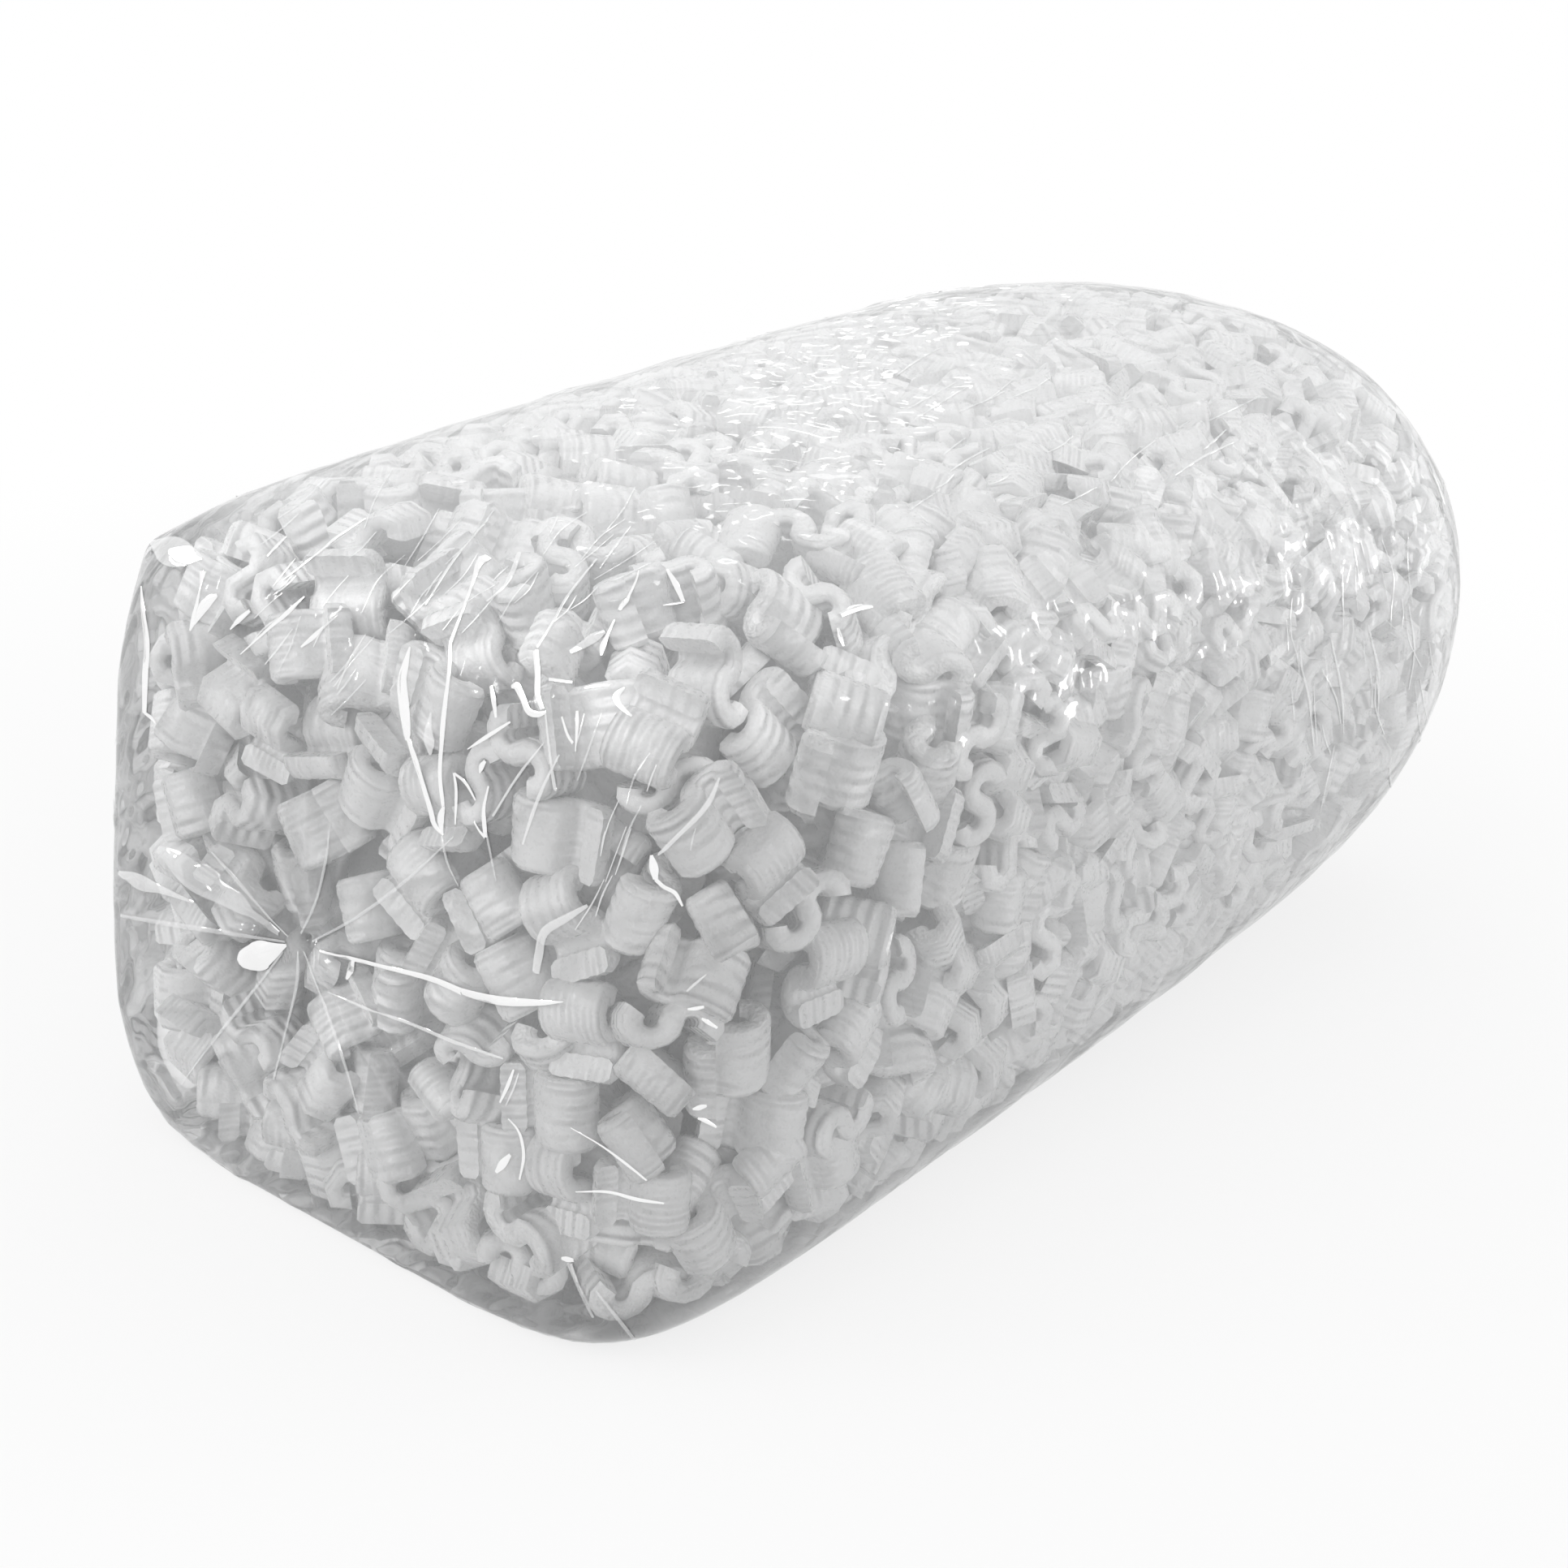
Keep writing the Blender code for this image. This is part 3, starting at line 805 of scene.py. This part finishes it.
def foam_material(colours, peanut):
    """Expanded foam: a lumpy skin with uneven ribs and a patchy gloss, and open cells on the cut faces."""
    made, nodes, links = new_material("white foam")
    grain = node(nodes, "ShaderNodeAttribute", attribute_name="grain")
    across = node(nodes, "ShaderNodeAttribute", attribute_name="across")
    tone = node(nodes, "ShaderNodeAttribute", attribute_name="tone")
    specks = node(nodes, "ShaderNodeTexNoise", Scale=520.0, Detail=1.0, Roughness=0.6)
    lumps = node(nodes, "ShaderNodeTexNoise", Scale=130.0, Detail=0.0)
    patches = node(nodes, "ShaderNodeTexNoise", Scale=70.0, Detail=0.0)
    aside = math_node(nodes, "ABSOLUTE")
    cut = remap(nodes, *CUT_FACES, kind="SMOOTHSTEP")
    ribs = math_node(nodes, "MULTIPLY", math.tau * RIBS / peanut.width)
    wave = math_node(nodes, "COSINE")
    rib_share = remap(nodes, 0.36, 0.66, 0.12, 0.80)
    uneven = math_node(nodes, "MULTIPLY")
    lumpy = math_node(nodes, "MULTIPLY_ADD", 1.7)
    speckled = math_node(nodes, "MULTIPLY_ADD", 0.35)
    cells = math_node(nodes, "MULTIPLY_ADD")
    height = node(nodes, "ShaderNodeBump", Strength=0.8, Distance=0.0010)
    shade = remap(nodes, 0.0, 1.0, 0.94, 1.0)
    cloud = remap(nodes, 0.35, 0.65, 0.93, 1.0)
    both = math_node(nodes, "MULTIPLY")
    tint = node(nodes, "ShaderNodeMix", data_type="RGBA", blend_type="MULTIPLY")
    tint.inputs["Factor"].default_value = 1.0
    tint.inputs["A"].default_value = (*colours.foam, 1.0)
    gloss = remap(nodes, 0.35, 0.65, 0.22, 0.50)
    shader = node(nodes, "ShaderNodeBsdfPrincipled")
    shader.inputs["Specular IOR Level"].default_value = 0.9
    out = node(nodes, "ShaderNodeOutputMaterial")
    wire(
        links,
        (grain, "Vector", specks, "Vector"),
        (grain, "Vector", lumps, "Vector"),
        (grain, "Vector", patches, "Vector"),
        (across, "Fac", aside, 0),
        (aside, 0, cut, "Value"),
        (across, "Fac", ribs, 0),
        (ribs, 0, wave, 0),
        (patches, "Fac", rib_share, "Value"),
        (wave, 0, uneven, 0),
        (rib_share, "Result", uneven, 1),
        (lumps, "Fac", lumpy, 0),
        (uneven, 0, lumpy, 2),
        (specks, "Fac", speckled, 0),
        (lumpy, 0, speckled, 2),
        (specks, "Fac", cells, 0),
        (cut, "Result", cells, 1),
        (speckled, 0, cells, 2),
        (cells, 0, height, "Height"),
        (height, "Normal", shader, "Normal"),
        (tone, "Fac", shade, "Value"),
        (patches, "Fac", cloud, "Value"),
        (shade, "Result", both, 0),
        (cloud, "Result", both, 1),
        (both, 0, tint, "B"),
        (tint, "Result", shader, "Base Color"),
        (specks, "Fac", gloss, "Value"),
        (gloss, "Result", shader, "Roughness"),
        (shader, 0, out, "Surface"),
    )
    return made


def film_material(colours):
    """Clear film: gloss by the angle of view over what lies behind it, with a thin milky haze, and a painted
    glint on the creases, where the gloss share is raised to as much as 0.9 at any angle.
    """
    made, nodes, links = new_material("clear film")
    place = node(nodes, "ShaderNodeTexCoord")
    ripples = node(nodes, "ShaderNodeTexNoise", Scale=30.0, Detail=0.0)
    cling = node(nodes, "ShaderNodeTexNoise", Scale=95.0, Detail=0.0)
    relief = math_node(nodes, "MULTIPLY_ADD", 0.42)
    height = node(nodes, "ShaderNodeBump", Strength=0.8, Distance=0.0080)
    clear = node(nodes, "ShaderNodeBsdfTransparent", Color=(1.0, 1.0, 1.0, 1.0))
    milk = node(nodes, "ShaderNodeBsdfDiffuse", Color=(*colours.film, 1.0))
    gloss = node(nodes, "ShaderNodeBsdfGlossy", Color=(1.0, 1.0, 1.0, 1.0), Roughness=0.09)
    fresnel = node(nodes, "ShaderNodeFresnel", IOR=1.36)
    # Painted glint: the creases' attribute raises the gloss share far above the film's own Fresnel reflection
    painted_glint_crease = node(nodes, "ShaderNodeAttribute", attribute_name="painted_glint_crease")
    shine = math_node(nodes, "MAXIMUM")
    grazing = node(nodes, "ShaderNodeLayerWeight", Blend=0.2)
    milkiness = remap(nodes, 0.0, 1.0, 0.16, 0.45)
    haze_mix = node(nodes, "ShaderNodeMixShader")
    gloss_mix = node(nodes, "ShaderNodeMixShader")
    out = node(nodes, "ShaderNodeOutputMaterial")
    wire(
        links,
        (place, "Object", ripples, "Vector"),
        (place, "Object", cling, "Vector"),
        (cling, "Fac", relief, 0),
        (ripples, "Fac", relief, 2),
        (relief, 0, height, "Height"),
        (height, "Normal", gloss, "Normal"),
        (grazing, "Facing", milkiness, "Value"),
        (milkiness, "Result", haze_mix, "Fac"),
        (clear, 0, haze_mix, 1),
        (milk, 0, haze_mix, 2),
        # The gloss share is the larger of the Fresnel reflection and the creases' painted glint
        (fresnel, 0, shine, 0),
        (painted_glint_crease, "Fac", shine, 1),
        (shine, 0, gloss_mix, "Fac"),
        (haze_mix, 0, gloss_mix, 1),
        (gloss, 0, gloss_mix, 2),
        (gloss_mix, 0, out, "Surface"),
    )
    return made


# Filling the bag: how many of the nearest peanuts have ribs, and how deep the outer ones go

NEAR_PEANUTS = 95
OUTER_DEPTH = 0.030


class PEANUTBAG_OT_fill(bpy.types.Operator):
    """Pour the foam peanuts into the bag"""

    bl_idname = "peanut_bag.fill"
    bl_label = "Pour Peanuts"

    def execute(self, context):
        bag = context.scene.bag_sizes
        peanut = context.scene.peanut_sizes
        foam = foam_material(context.scene.bag_colours, peanut)
        template = node_template(peanut)
        poses = [pose_of_node(name, template) for name in LOOSE_NODES]
        error = max(pose[0] for pose in poses)
        print("largest corner error of a matched peanut, mm:", round(error * 1000.0, 3))
        fixed_turns = np.array([list(Matrix(pose[1]).to_quaternion()) for pose in poses])
        fixed_places = np.array([pose[2] for pose in poses])
        places, turns, scales = pour_peanuts(bag, peanut, fixed_places, fixed_turns)
        matrices = rotation_matrices(turns)
        draw = np.random.default_rng(peanut.seed + 1)
        plain = [model_peanut(peanut, curl, steps=4, stops=3) for curl in CURLS]
        ribbed = [model_peanut(peanut, curl, steps=8, stops=20, ribs=RIBS) for curl in CURLS[:RIBBED_CURLS]]
        made = []
        for index, name in enumerate(LOOSE_NODES):
            row = slice(index, index + 1)
            piece = copies_of(ribbed, [0], places[row], matrices[row], [1.0], "foam_" + name, draw)
            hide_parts(name)
            made.append(piece)
        for name, group, models in self.groups(bag, places, plain, ribbed):
            choice = draw.integers(0, len(models), len(group))
            made.append(copies_of(models, choice, places[group], matrices[group], scales[group], name, draw))
            triangles = sum(len(face.vertices) - 2 for face in made[-1].data.polygons)
            print(name, len(group), "peanuts", triangles, "triangles")
        for model in plain + ribbed:
            bpy.data.objects.remove(model)
        for piece in made:
            piece.data.materials.append(foam)
            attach(piece, "root")
        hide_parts("peanut_fill")
        return {"FINISHED"}

    def groups(self, bag, places, plain, ribbed):
        """The poured peanuts by piece: the nearest, the other outer ones in two halves, and the deep ones."""
        eye = np.array(camera_place())
        poured = np.arange(len(LOOSE_NODES), len(places))
        depth = np.abs(back_into_room(bag, places, OUTER_DEPTH)).sum(1)
        outer = poured[depth[poured] > 0.0]
        order = outer[np.argsort(((places[outer] - eye) ** 2).sum(1))]
        shown = order[NEAR_PEANUTS:]
        sealed_half = places[shown, 0] < 0.0
        return (
            ("near_peanuts", order[:NEAR_PEANUTS], ribbed),
            ("outer_peanuts_sealed_half", shown[sealed_half], plain),
            ("outer_peanuts_round_half", shown[~sealed_half], plain),
            ("deep_peanuts", poured[depth[poured] == 0.0], plain),
        )


# The film: its mesh, the seal's pleats, the sag between the peanuts and the lift over those that stand out

FILM_SEGMENTS = 300
FILM_RINGS = 220
SEAL_SEED = 5
PLEATS = 22
PLEAT_SPREAD = 0.3
PLEAT_REACH = (0.05, 0.13)
PLEAT_DEPTH = (0.0012, 0.0030)
PLEAT_HALF_WIDTH = 0.0032
PLEAT_START = 0.012
SAG_DEPTH = 0.0009
SAG_SLACK = 0.6
SAG_SCALES = (24.0, 55.0)
SAG_START = 0.02
LIFT_REACH = 0.007
FILM_LIFT = 0.0005
LIFT_EASINGS = 3
LIFT_EASING = 0.7

# The pointed corner: its pixel in the photograph, and how far behind the sealed end's plane it lies

CORNER_PIXEL = (178.0, 664.0)
CORNER_INSET = 0.018
CORNER_REACH = 0.034
CORNER_PULL = 0.72

# The creases' folds: how they stand up, how strong their painted glint is, and the seeded ones on the sides
# that the camera doesn't see

CREASE_HALF_WIDTH = 0.65
# Painted glint: the most of a crease's film that is drawn as mirror reflection
CREASE_PAINTED_GLINT = 0.9
FOLD_LIFT = 0.0004
FOLD_RIDGE = 0.45
OTHER_CREASES = 90
BAG_MIDDLE = Vector((0.0, 0.0, 0.14))
LOWEST_CREASE = 0.03
SEEN_FACING = 0.02
CREASE_BEND = 5.0
CREASE_REACH = (0.012, 0.05)
CREASE_WIDTH = (0.0005, 0.0016)
CREASE_STOPS = 13


class PEANUTBAG_OT_film(bpy.types.Operator):
    """Wrap the clear film round the peanuts"""

    bl_idname = "peanut_bag.film"
    bl_label = "Wrap Film"

    def execute(self, context):
        bag = context.scene.bag_sizes
        bpy.ops.object.select_all(action="DESELECT")
        bpy.ops.mesh.primitive_uv_sphere_add(segments=FILM_SEGMENTS, ring_count=FILM_RINGS, radius=1.0)
        film = named(bpy.context.object, "clear_film_bag")
        sphere = coordinates(film.data)
        around = np.hypot(sphere[:, 0], sphere[:, 1])
        angle = np.arctan2(sphere[:, 1], sphere[:, 0])
        places, station, cap = skin_places(bag, sphere[:, 2], around, angle)
        set_coordinates(film.data, places)
        self.gather_seal(film.data, bag, station, cap, angle)
        self.point_corner(film.data, bag)
        self.sag(film.data)
        self.stretch_over_peanuts(film.data)
        creases = self.model_creases(film.data, context.scene.peanut_sizes)
        pick_only(film)
        for painted_glint_crease in creases:
            painted_glint_crease.select_set(True)
        bpy.ops.object.join()
        bpy.ops.object.shade_smooth()
        film.data.materials.append(film_material(context.scene.bag_colours))
        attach(film, "root")
        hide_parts("bag_film")
        return {"FINISHED"}

    def gather_seal(self, mesh, bag, station, cap, angle):
        """Draws the sealed end in round the point of the star, with pleats that run to it."""
        draw = np.random.default_rng(SEAL_SEED)
        places = coordinates(mesh)
        sealed = station < 0.0
        radius = cap * bag.sealed_height / 2.0
        places[:, 1] += np.where(sealed, bag.seal_side * (1.0 - cap), 0.0)
        places[:, 2] -= np.where(sealed, bag.seal_drop * (1.0 - cap), 0.0)
        places[:, 0] += np.where(sealed, seal_pull(bag, places[:, 1], places[:, 2]), 0.0)
        for pleat in range(PLEATS):
            middle = math.tau * (pleat + draw.uniform(-PLEAT_SPREAD, PLEAT_SPREAD)) / PLEATS
            reach = draw.uniform(*PLEAT_REACH)
            depth = draw.uniform(*PLEAT_DEPTH)
            aside = (np.mod(angle - middle + math.pi, math.tau) - math.pi) * radius
            fold = depth * np.exp(-((aside / PLEAT_HALF_WIDTH) ** 2)) * np.exp(-((radius / reach) ** 2))
            started = np.minimum(radius / PLEAT_START, 1.0)
            places[:, 0] -= np.where(sealed, fold * started, 0.0)
        places[:, 2] = np.maximum(places[:, 2], 0.0)
        set_coordinates(mesh, places)

    def point_corner(self, mesh, bag):
        """Draws the far upper corner of the sealed end out to a point. The real bag has a flap folded flat
        there, which is not modelled.
        """
        eye = np.array(camera_place())
        sight = np.array(pixel_direction(*CORNER_PIXEL))
        corner = eye + sight * ((CORNER_INSET - bag.length / 2.0 - eye[0]) / sight[0])
        places = coordinates(mesh)
        near = np.exp(-(((places - corner) ** 2).sum(1) / CORNER_REACH ** 2) ** 1.5)
        places += (corner - places) * (CORNER_PULL * near)[:, None]
        set_coordinates(mesh, places)

    def sag(self, mesh):
        """The film sags a little between the peanuts' tips."""
        places = coordinates(mesh)
        broad, fine = SAG_SCALES
        depth = np.array([
            noise.noise(Vector(place) * broad) + 0.5 * noise.noise(Vector(place) * fine) for place in places])
        lifted = np.minimum(places[:, 2] / SAG_START, 1.0)[:, None]
        places -= vertex_normals(mesh) * (SAG_DEPTH * (depth[:, None] + SAG_SLACK)) * lifted
        places[:, 2] = np.maximum(places[:, 2], 0.0)
        set_coordinates(mesh, places)

    def stretch_over_peanuts(self, mesh):
        """Lifts the film wherever a peanut would stand out through it, and eases it down round there."""
        fill = [piece for piece in bpy.data.objects if piece.name.startswith(("foam_", "near_", "outer_"))]
        places = coordinates(mesh)
        normals = vertex_normals(mesh)
        lift = np.zeros(len(places))
        for piece in fill:
            low = coordinates(piece.data).min(0) - LIFT_REACH
            high = coordinates(piece.data).max(0) + LIFT_REACH
            beside = np.flatnonzero(((places > low) & (places < high)).all(1))
            tree = BVHTree.FromPolygons(
                [v.co for v in piece.data.vertices], [p.vertices for p in piece.data.polygons])
            for index in beside:
                out = Vector(normals[index])
                distance = tree.ray_cast(Vector(places[index]) + out * LIFT_REACH, -out, LIFT_REACH)[3]
                if distance is not None:
                    lift[index] = max(lift[index], LIFT_REACH - distance + FILM_LIFT)
        edges = np.empty(len(mesh.edges) * 2, np.int64)
        mesh.edges.foreach_get("vertices", edges)
        first, second = edges.reshape(-1, 2).T
        for _ in range(LIFT_EASINGS):
            eased = lift.copy()
            np.maximum.at(eased, first, lift[second] * LIFT_EASING)
            np.maximum.at(eased, second, lift[first] * LIFT_EASING)
            lift = eased
        places += normals * lift[:, None]
        places[:, 2] = np.maximum(places[:, 2], 0.0)
        set_coordinates(mesh, places)
        print("most that the film is lifted, mm:", round(lift.max() * 1000.0, 2))

    def model_creases(self, mesh, peanut):
        """Slim closed folds that lie on the film, each with a painted glint: those of the photograph, and more
        round the other sides.
        """
        skin = BVHTree.FromPolygons([v.co for v in mesh.vertices], [p.vertices for p in mesh.polygons])
        eye = camera_place()
        made = []
        draw = np.random.default_rng(peanut.seed + 2)
        for shine, points in (*CREASES, *stretch_lines(draw)):
            spots = []
            for across, down, width in smooth_line(points, 4 * len(points) + 1):
                hit, normal, _, distance = skin.ray_cast(eye, pixel_direction(across, down))
                if hit is not None:
                    half = CREASE_HALF_WIDTH * max(width, 1.0) * distance / CAMERA_FOCAL_PIXELS
                    spots.append((hit, normal, half))
            if len(spots) > 4:
                made.append(self.model_fold(spots, shine))
        wanted = len(made) + OTHER_CREASES
        while len(made) < wanted:
            start = Vector(draw.normal(size=3)).normalized() * 2.0
            hit, normal, _, _ = skin.ray_cast(start, (BAG_MIDDLE - start).normalized())
            if hit is None or hit.z < LOWEST_CREASE or (eye - hit).normalized().dot(normal) > SEEN_FACING:
                continue
            spots = self.wandering_line(skin, hit, normal, draw)
            made.append(self.model_fold(spots, float(draw.choice((BRIGHT, DULL, FAINT)))))
        return made

    def wandering_line(self, skin, hit, normal, draw):
        """A bowed line on the film through a spot, thinner towards its ends."""
        along = normal.orthogonal().normalized()
        along.rotate(Matrix.Rotation(draw.uniform(0.0, math.tau), 3, normal))
        bend = normal.cross(along) * draw.normal(0.0, CREASE_BEND)
        reach = draw.uniform(*CREASE_REACH)
        width = draw.uniform(*CREASE_WIDTH)
        spots = []
        for stop in range(CREASE_STOPS):
            share = stop / ((CREASE_STOPS - 1) / 2.0) - 1.0
            aim = hit + along * reach * share + bend * (reach * share) ** 2
            place, facing, _, _ = skin.find_nearest(aim)
            spots.append((place, facing, width * (1.0 - 0.8 * abs(share))))
        return spots

    def model_fold(self, spots, shine):
        """One fold: a narrow ply of film along the spots, with a ridge down its middle, and its painted glint
        stored on its points.
        """
        bpy.ops.object.select_all(action="DESELECT")
        bpy.ops.mesh.primitive_grid_add(x_subdivisions=len(spots) - 1, y_subdivisions=2, size=2.0)
        fold = bpy.context.object
        for vertex in fold.data.vertices:
            stop = round((vertex.co.x + 1.0) / 2.0 * (len(spots) - 1))
            place, out, half = spots[stop]
            before = spots[max(stop - 1, 0)][0]
            after = spots[min(stop + 1, len(spots) - 1)][0]
            aside = out.cross(after - before).normalized()
            ridge = FOLD_LIFT + FOLD_RIDGE * half * (1.0 - abs(vertex.co.y))
            vertex.co = place + aside * (half * vertex.co.y) + out * ridge
        # Stores the fold's painted glint on its points
        fold.data.attributes.new("painted_glint_crease", "FLOAT", "POINT").data.foreach_set(
            "value", [CREASE_PAINTED_GLINT * shine] * len(fold.data.vertices))
        return fold


# The stage: square lights as (name, place, side, watts), turned to one point, and the floor's fade to white

LIGHTS = (
    ("key softbox", (0.30, 0.10, 1.70), 1.00, 2.8),
    ("left softbox", (-1.40, 0.55, 1.60), 1.6, 16.5),
    ("right softbox", (1.05, -1.45, 1.00), 1.8, 14.0),
    ("back spark", (1.30, 1.00, 0.95), 0.14, 0.25),
    ("left spark", (-1.40, 0.90, 0.60), 0.14, 1.2),
    ("right spark", (1.20, -1.10, 0.45), 0.14, 1.2),
)
LIT_POINT = Vector((0.0, 0.0, 0.12))
FLOOR_SIDE = 60.0
FLOOR_DROP = 0.0005
FLOOR_FADE = (0.25, 1.1)
FLOOR_WHITENESS = 0.80
WORLD_LIGHT = 0.85


class PEANUTBAG_OT_stage(bpy.types.Operator):
    """Set up the floor, the lights, the white background and the camera"""

    bl_idname = "peanut_bag.stage"
    bl_label = "Set Stage"

    def execute(self, context):
        scene = context.scene
        scene.view_settings.view_transform = "Standard"
        scene.cycles.diffuse_bounces = 2
        scene.cycles.max_bounces = 6
        self.floor(scene.bag_colours)
        self.world(scene)
        for lamp in LIGHTS:
            self.light(*lamp)
        self.camera(scene)
        return {"FINISHED"}

    def floor(self, colours):
        """A pale floor that keeps the shadow near the bag and is seen white farther off."""
        bpy.ops.object.select_all(action="DESELECT")
        bpy.ops.mesh.primitive_plane_add(size=FLOOR_SIDE, location=(0.0, 0.0, -FLOOR_DROP))
        floor = named(bpy.context.object, "floor")
        made, nodes, links = new_material("pale floor")
        plain = node(nodes, "ShaderNodeBsdfDiffuse", Color=(*colours.floor, 1.0))
        white = node(nodes, "ShaderNodeEmission", Strength=1.0)
        place = node(nodes, "ShaderNodeTexCoord")
        away = node(nodes, "ShaderNodeVectorMath", operation="LENGTH")
        fade = remap(nodes, *FLOOR_FADE, FLOOR_WHITENESS, 1.0, kind="SMOOTHSTEP")
        path = node(nodes, "ShaderNodeLightPath")
        straight = math_node(nodes, "MAXIMUM")
        shown = math_node(nodes, "MULTIPLY")
        mix = node(nodes, "ShaderNodeMixShader")
        out = node(nodes, "ShaderNodeOutputMaterial")
        wire(
            links,
            (place, "Object", away, 0),
            (away, "Value", fade, "Value"),
            (path, "Is Camera Ray", straight, 0),
            (path, "Is Glossy Ray", straight, 1),
            (straight, 0, shown, 0),
            (fade, "Result", shown, 1),
            (shown, 0, mix, "Fac"),
            (plain, 0, mix, 1),
            (white, 0, mix, 2),
            (mix, 0, out, "Surface"),
        )
        floor.data.materials.append(made)

    def world(self, scene):
        """White to the eye and in reflections, and a little dimmer as a light."""
        world = bpy.data.worlds.new("white studio")
        scene.world = world
        world.use_nodes = True
        nodes = world.node_tree.nodes
        nodes.clear()
        path = node(nodes, "ShaderNodeLightPath")
        glossy = math_node(nodes, "MAXIMUM")
        passed = math_node(nodes, "MAXIMUM")
        shown = node(nodes, "ShaderNodeBackground", Color=(1.0, 1.0, 1.0, 1.0), Strength=1.0)
        lit = node(nodes, "ShaderNodeBackground", Color=(1.0, 1.0, 1.0, 1.0), Strength=WORLD_LIGHT)
        mix = node(nodes, "ShaderNodeMixShader")
        out = node(nodes, "ShaderNodeOutputWorld")
        wire(
            world.node_tree.links,
            (path, "Is Camera Ray", glossy, 0),
            (path, "Is Glossy Ray", glossy, 1),
            (glossy, 0, passed, 0),
            (path, "Is Transmission Ray", passed, 1),
            (passed, 0, mix, "Fac"),
            (lit, 0, mix, 1),
            (shown, 0, mix, 2),
            (mix, 0, out, "Surface"),
        )

    def light(self, name, place, side, watts):
        bpy.ops.object.select_all(action="DESELECT")
        bpy.ops.object.light_add(type="AREA", location=place)
        lamp = bpy.context.object
        lamp.name = name
        lamp.data.size = side
        lamp.data.energy = watts
        lamp.rotation_mode = "QUATERNION"
        lamp.rotation_quaternion = (Vector(place) - LIT_POINT).to_track_quat("Z", "Y")

    def camera(self, scene):
        bpy.ops.object.select_all(action="DESELECT")
        bpy.ops.object.camera_add()
        camera = bpy.context.object
        camera.name = "camera"
        right, up, back = camera_axes()
        turn = Matrix((right, up, back)).transposed().to_4x4()
        camera.matrix_world = Matrix.Translation(camera_place()) @ turn
        camera.data.sensor_width = SENSOR_WIDTH
        camera.data.lens = CAMERA_FOCAL_PIXELS / PHOTO_SIDE * SENSOR_WIDTH
        camera.data.clip_start = 0.01
        camera.data.clip_end = 50.0
        scene.camera = camera


class PEANUTBAG_PT_panel(bpy.types.Panel):
    """Lists the bag's sizes, colours and steps"""

    bl_idname = "PEANUTBAG_PT_panel"
    bl_label = "Bag of Packing Peanuts"
    bl_space_type = "VIEW_3D"
    bl_region_type = "UI"
    bl_category = "Peanut Bag"

    def draw(self, context):
        for settings in (context.scene.bag_sizes, context.scene.peanut_sizes, context.scene.bag_colours):
            box = self.layout.box()
            for key in settings.__annotations__:
                box.prop(settings, key)
        for step in STEPS:
            self.layout.operator(step.bl_idname)


STEPS = (PEANUTBAG_OT_fill, PEANUTBAG_OT_film, PEANUTBAG_OT_stage)
CLASSES = (BagSizes, PeanutSizes, BagColours, *STEPS, PEANUTBAG_PT_panel)


def register():
    for item in CLASSES:
        bpy.utils.register_class(item)
    bpy.types.Scene.bag_sizes = bpy.props.PointerProperty(type=BagSizes)
    bpy.types.Scene.peanut_sizes = bpy.props.PointerProperty(type=PeanutSizes)
    bpy.types.Scene.bag_colours = bpy.props.PointerProperty(type=BagColours)


def unregister():
    del bpy.types.Scene.bag_colours
    del bpy.types.Scene.peanut_sizes
    del bpy.types.Scene.bag_sizes
    for item in reversed(CLASSES):
        bpy.utils.unregister_class(item)


def main():
    register()
    bpy.ops.peanut_bag.fill()
    bpy.ops.peanut_bag.film()
    bpy.ops.peanut_bag.stage()


if __name__ == "__main__":
    main()
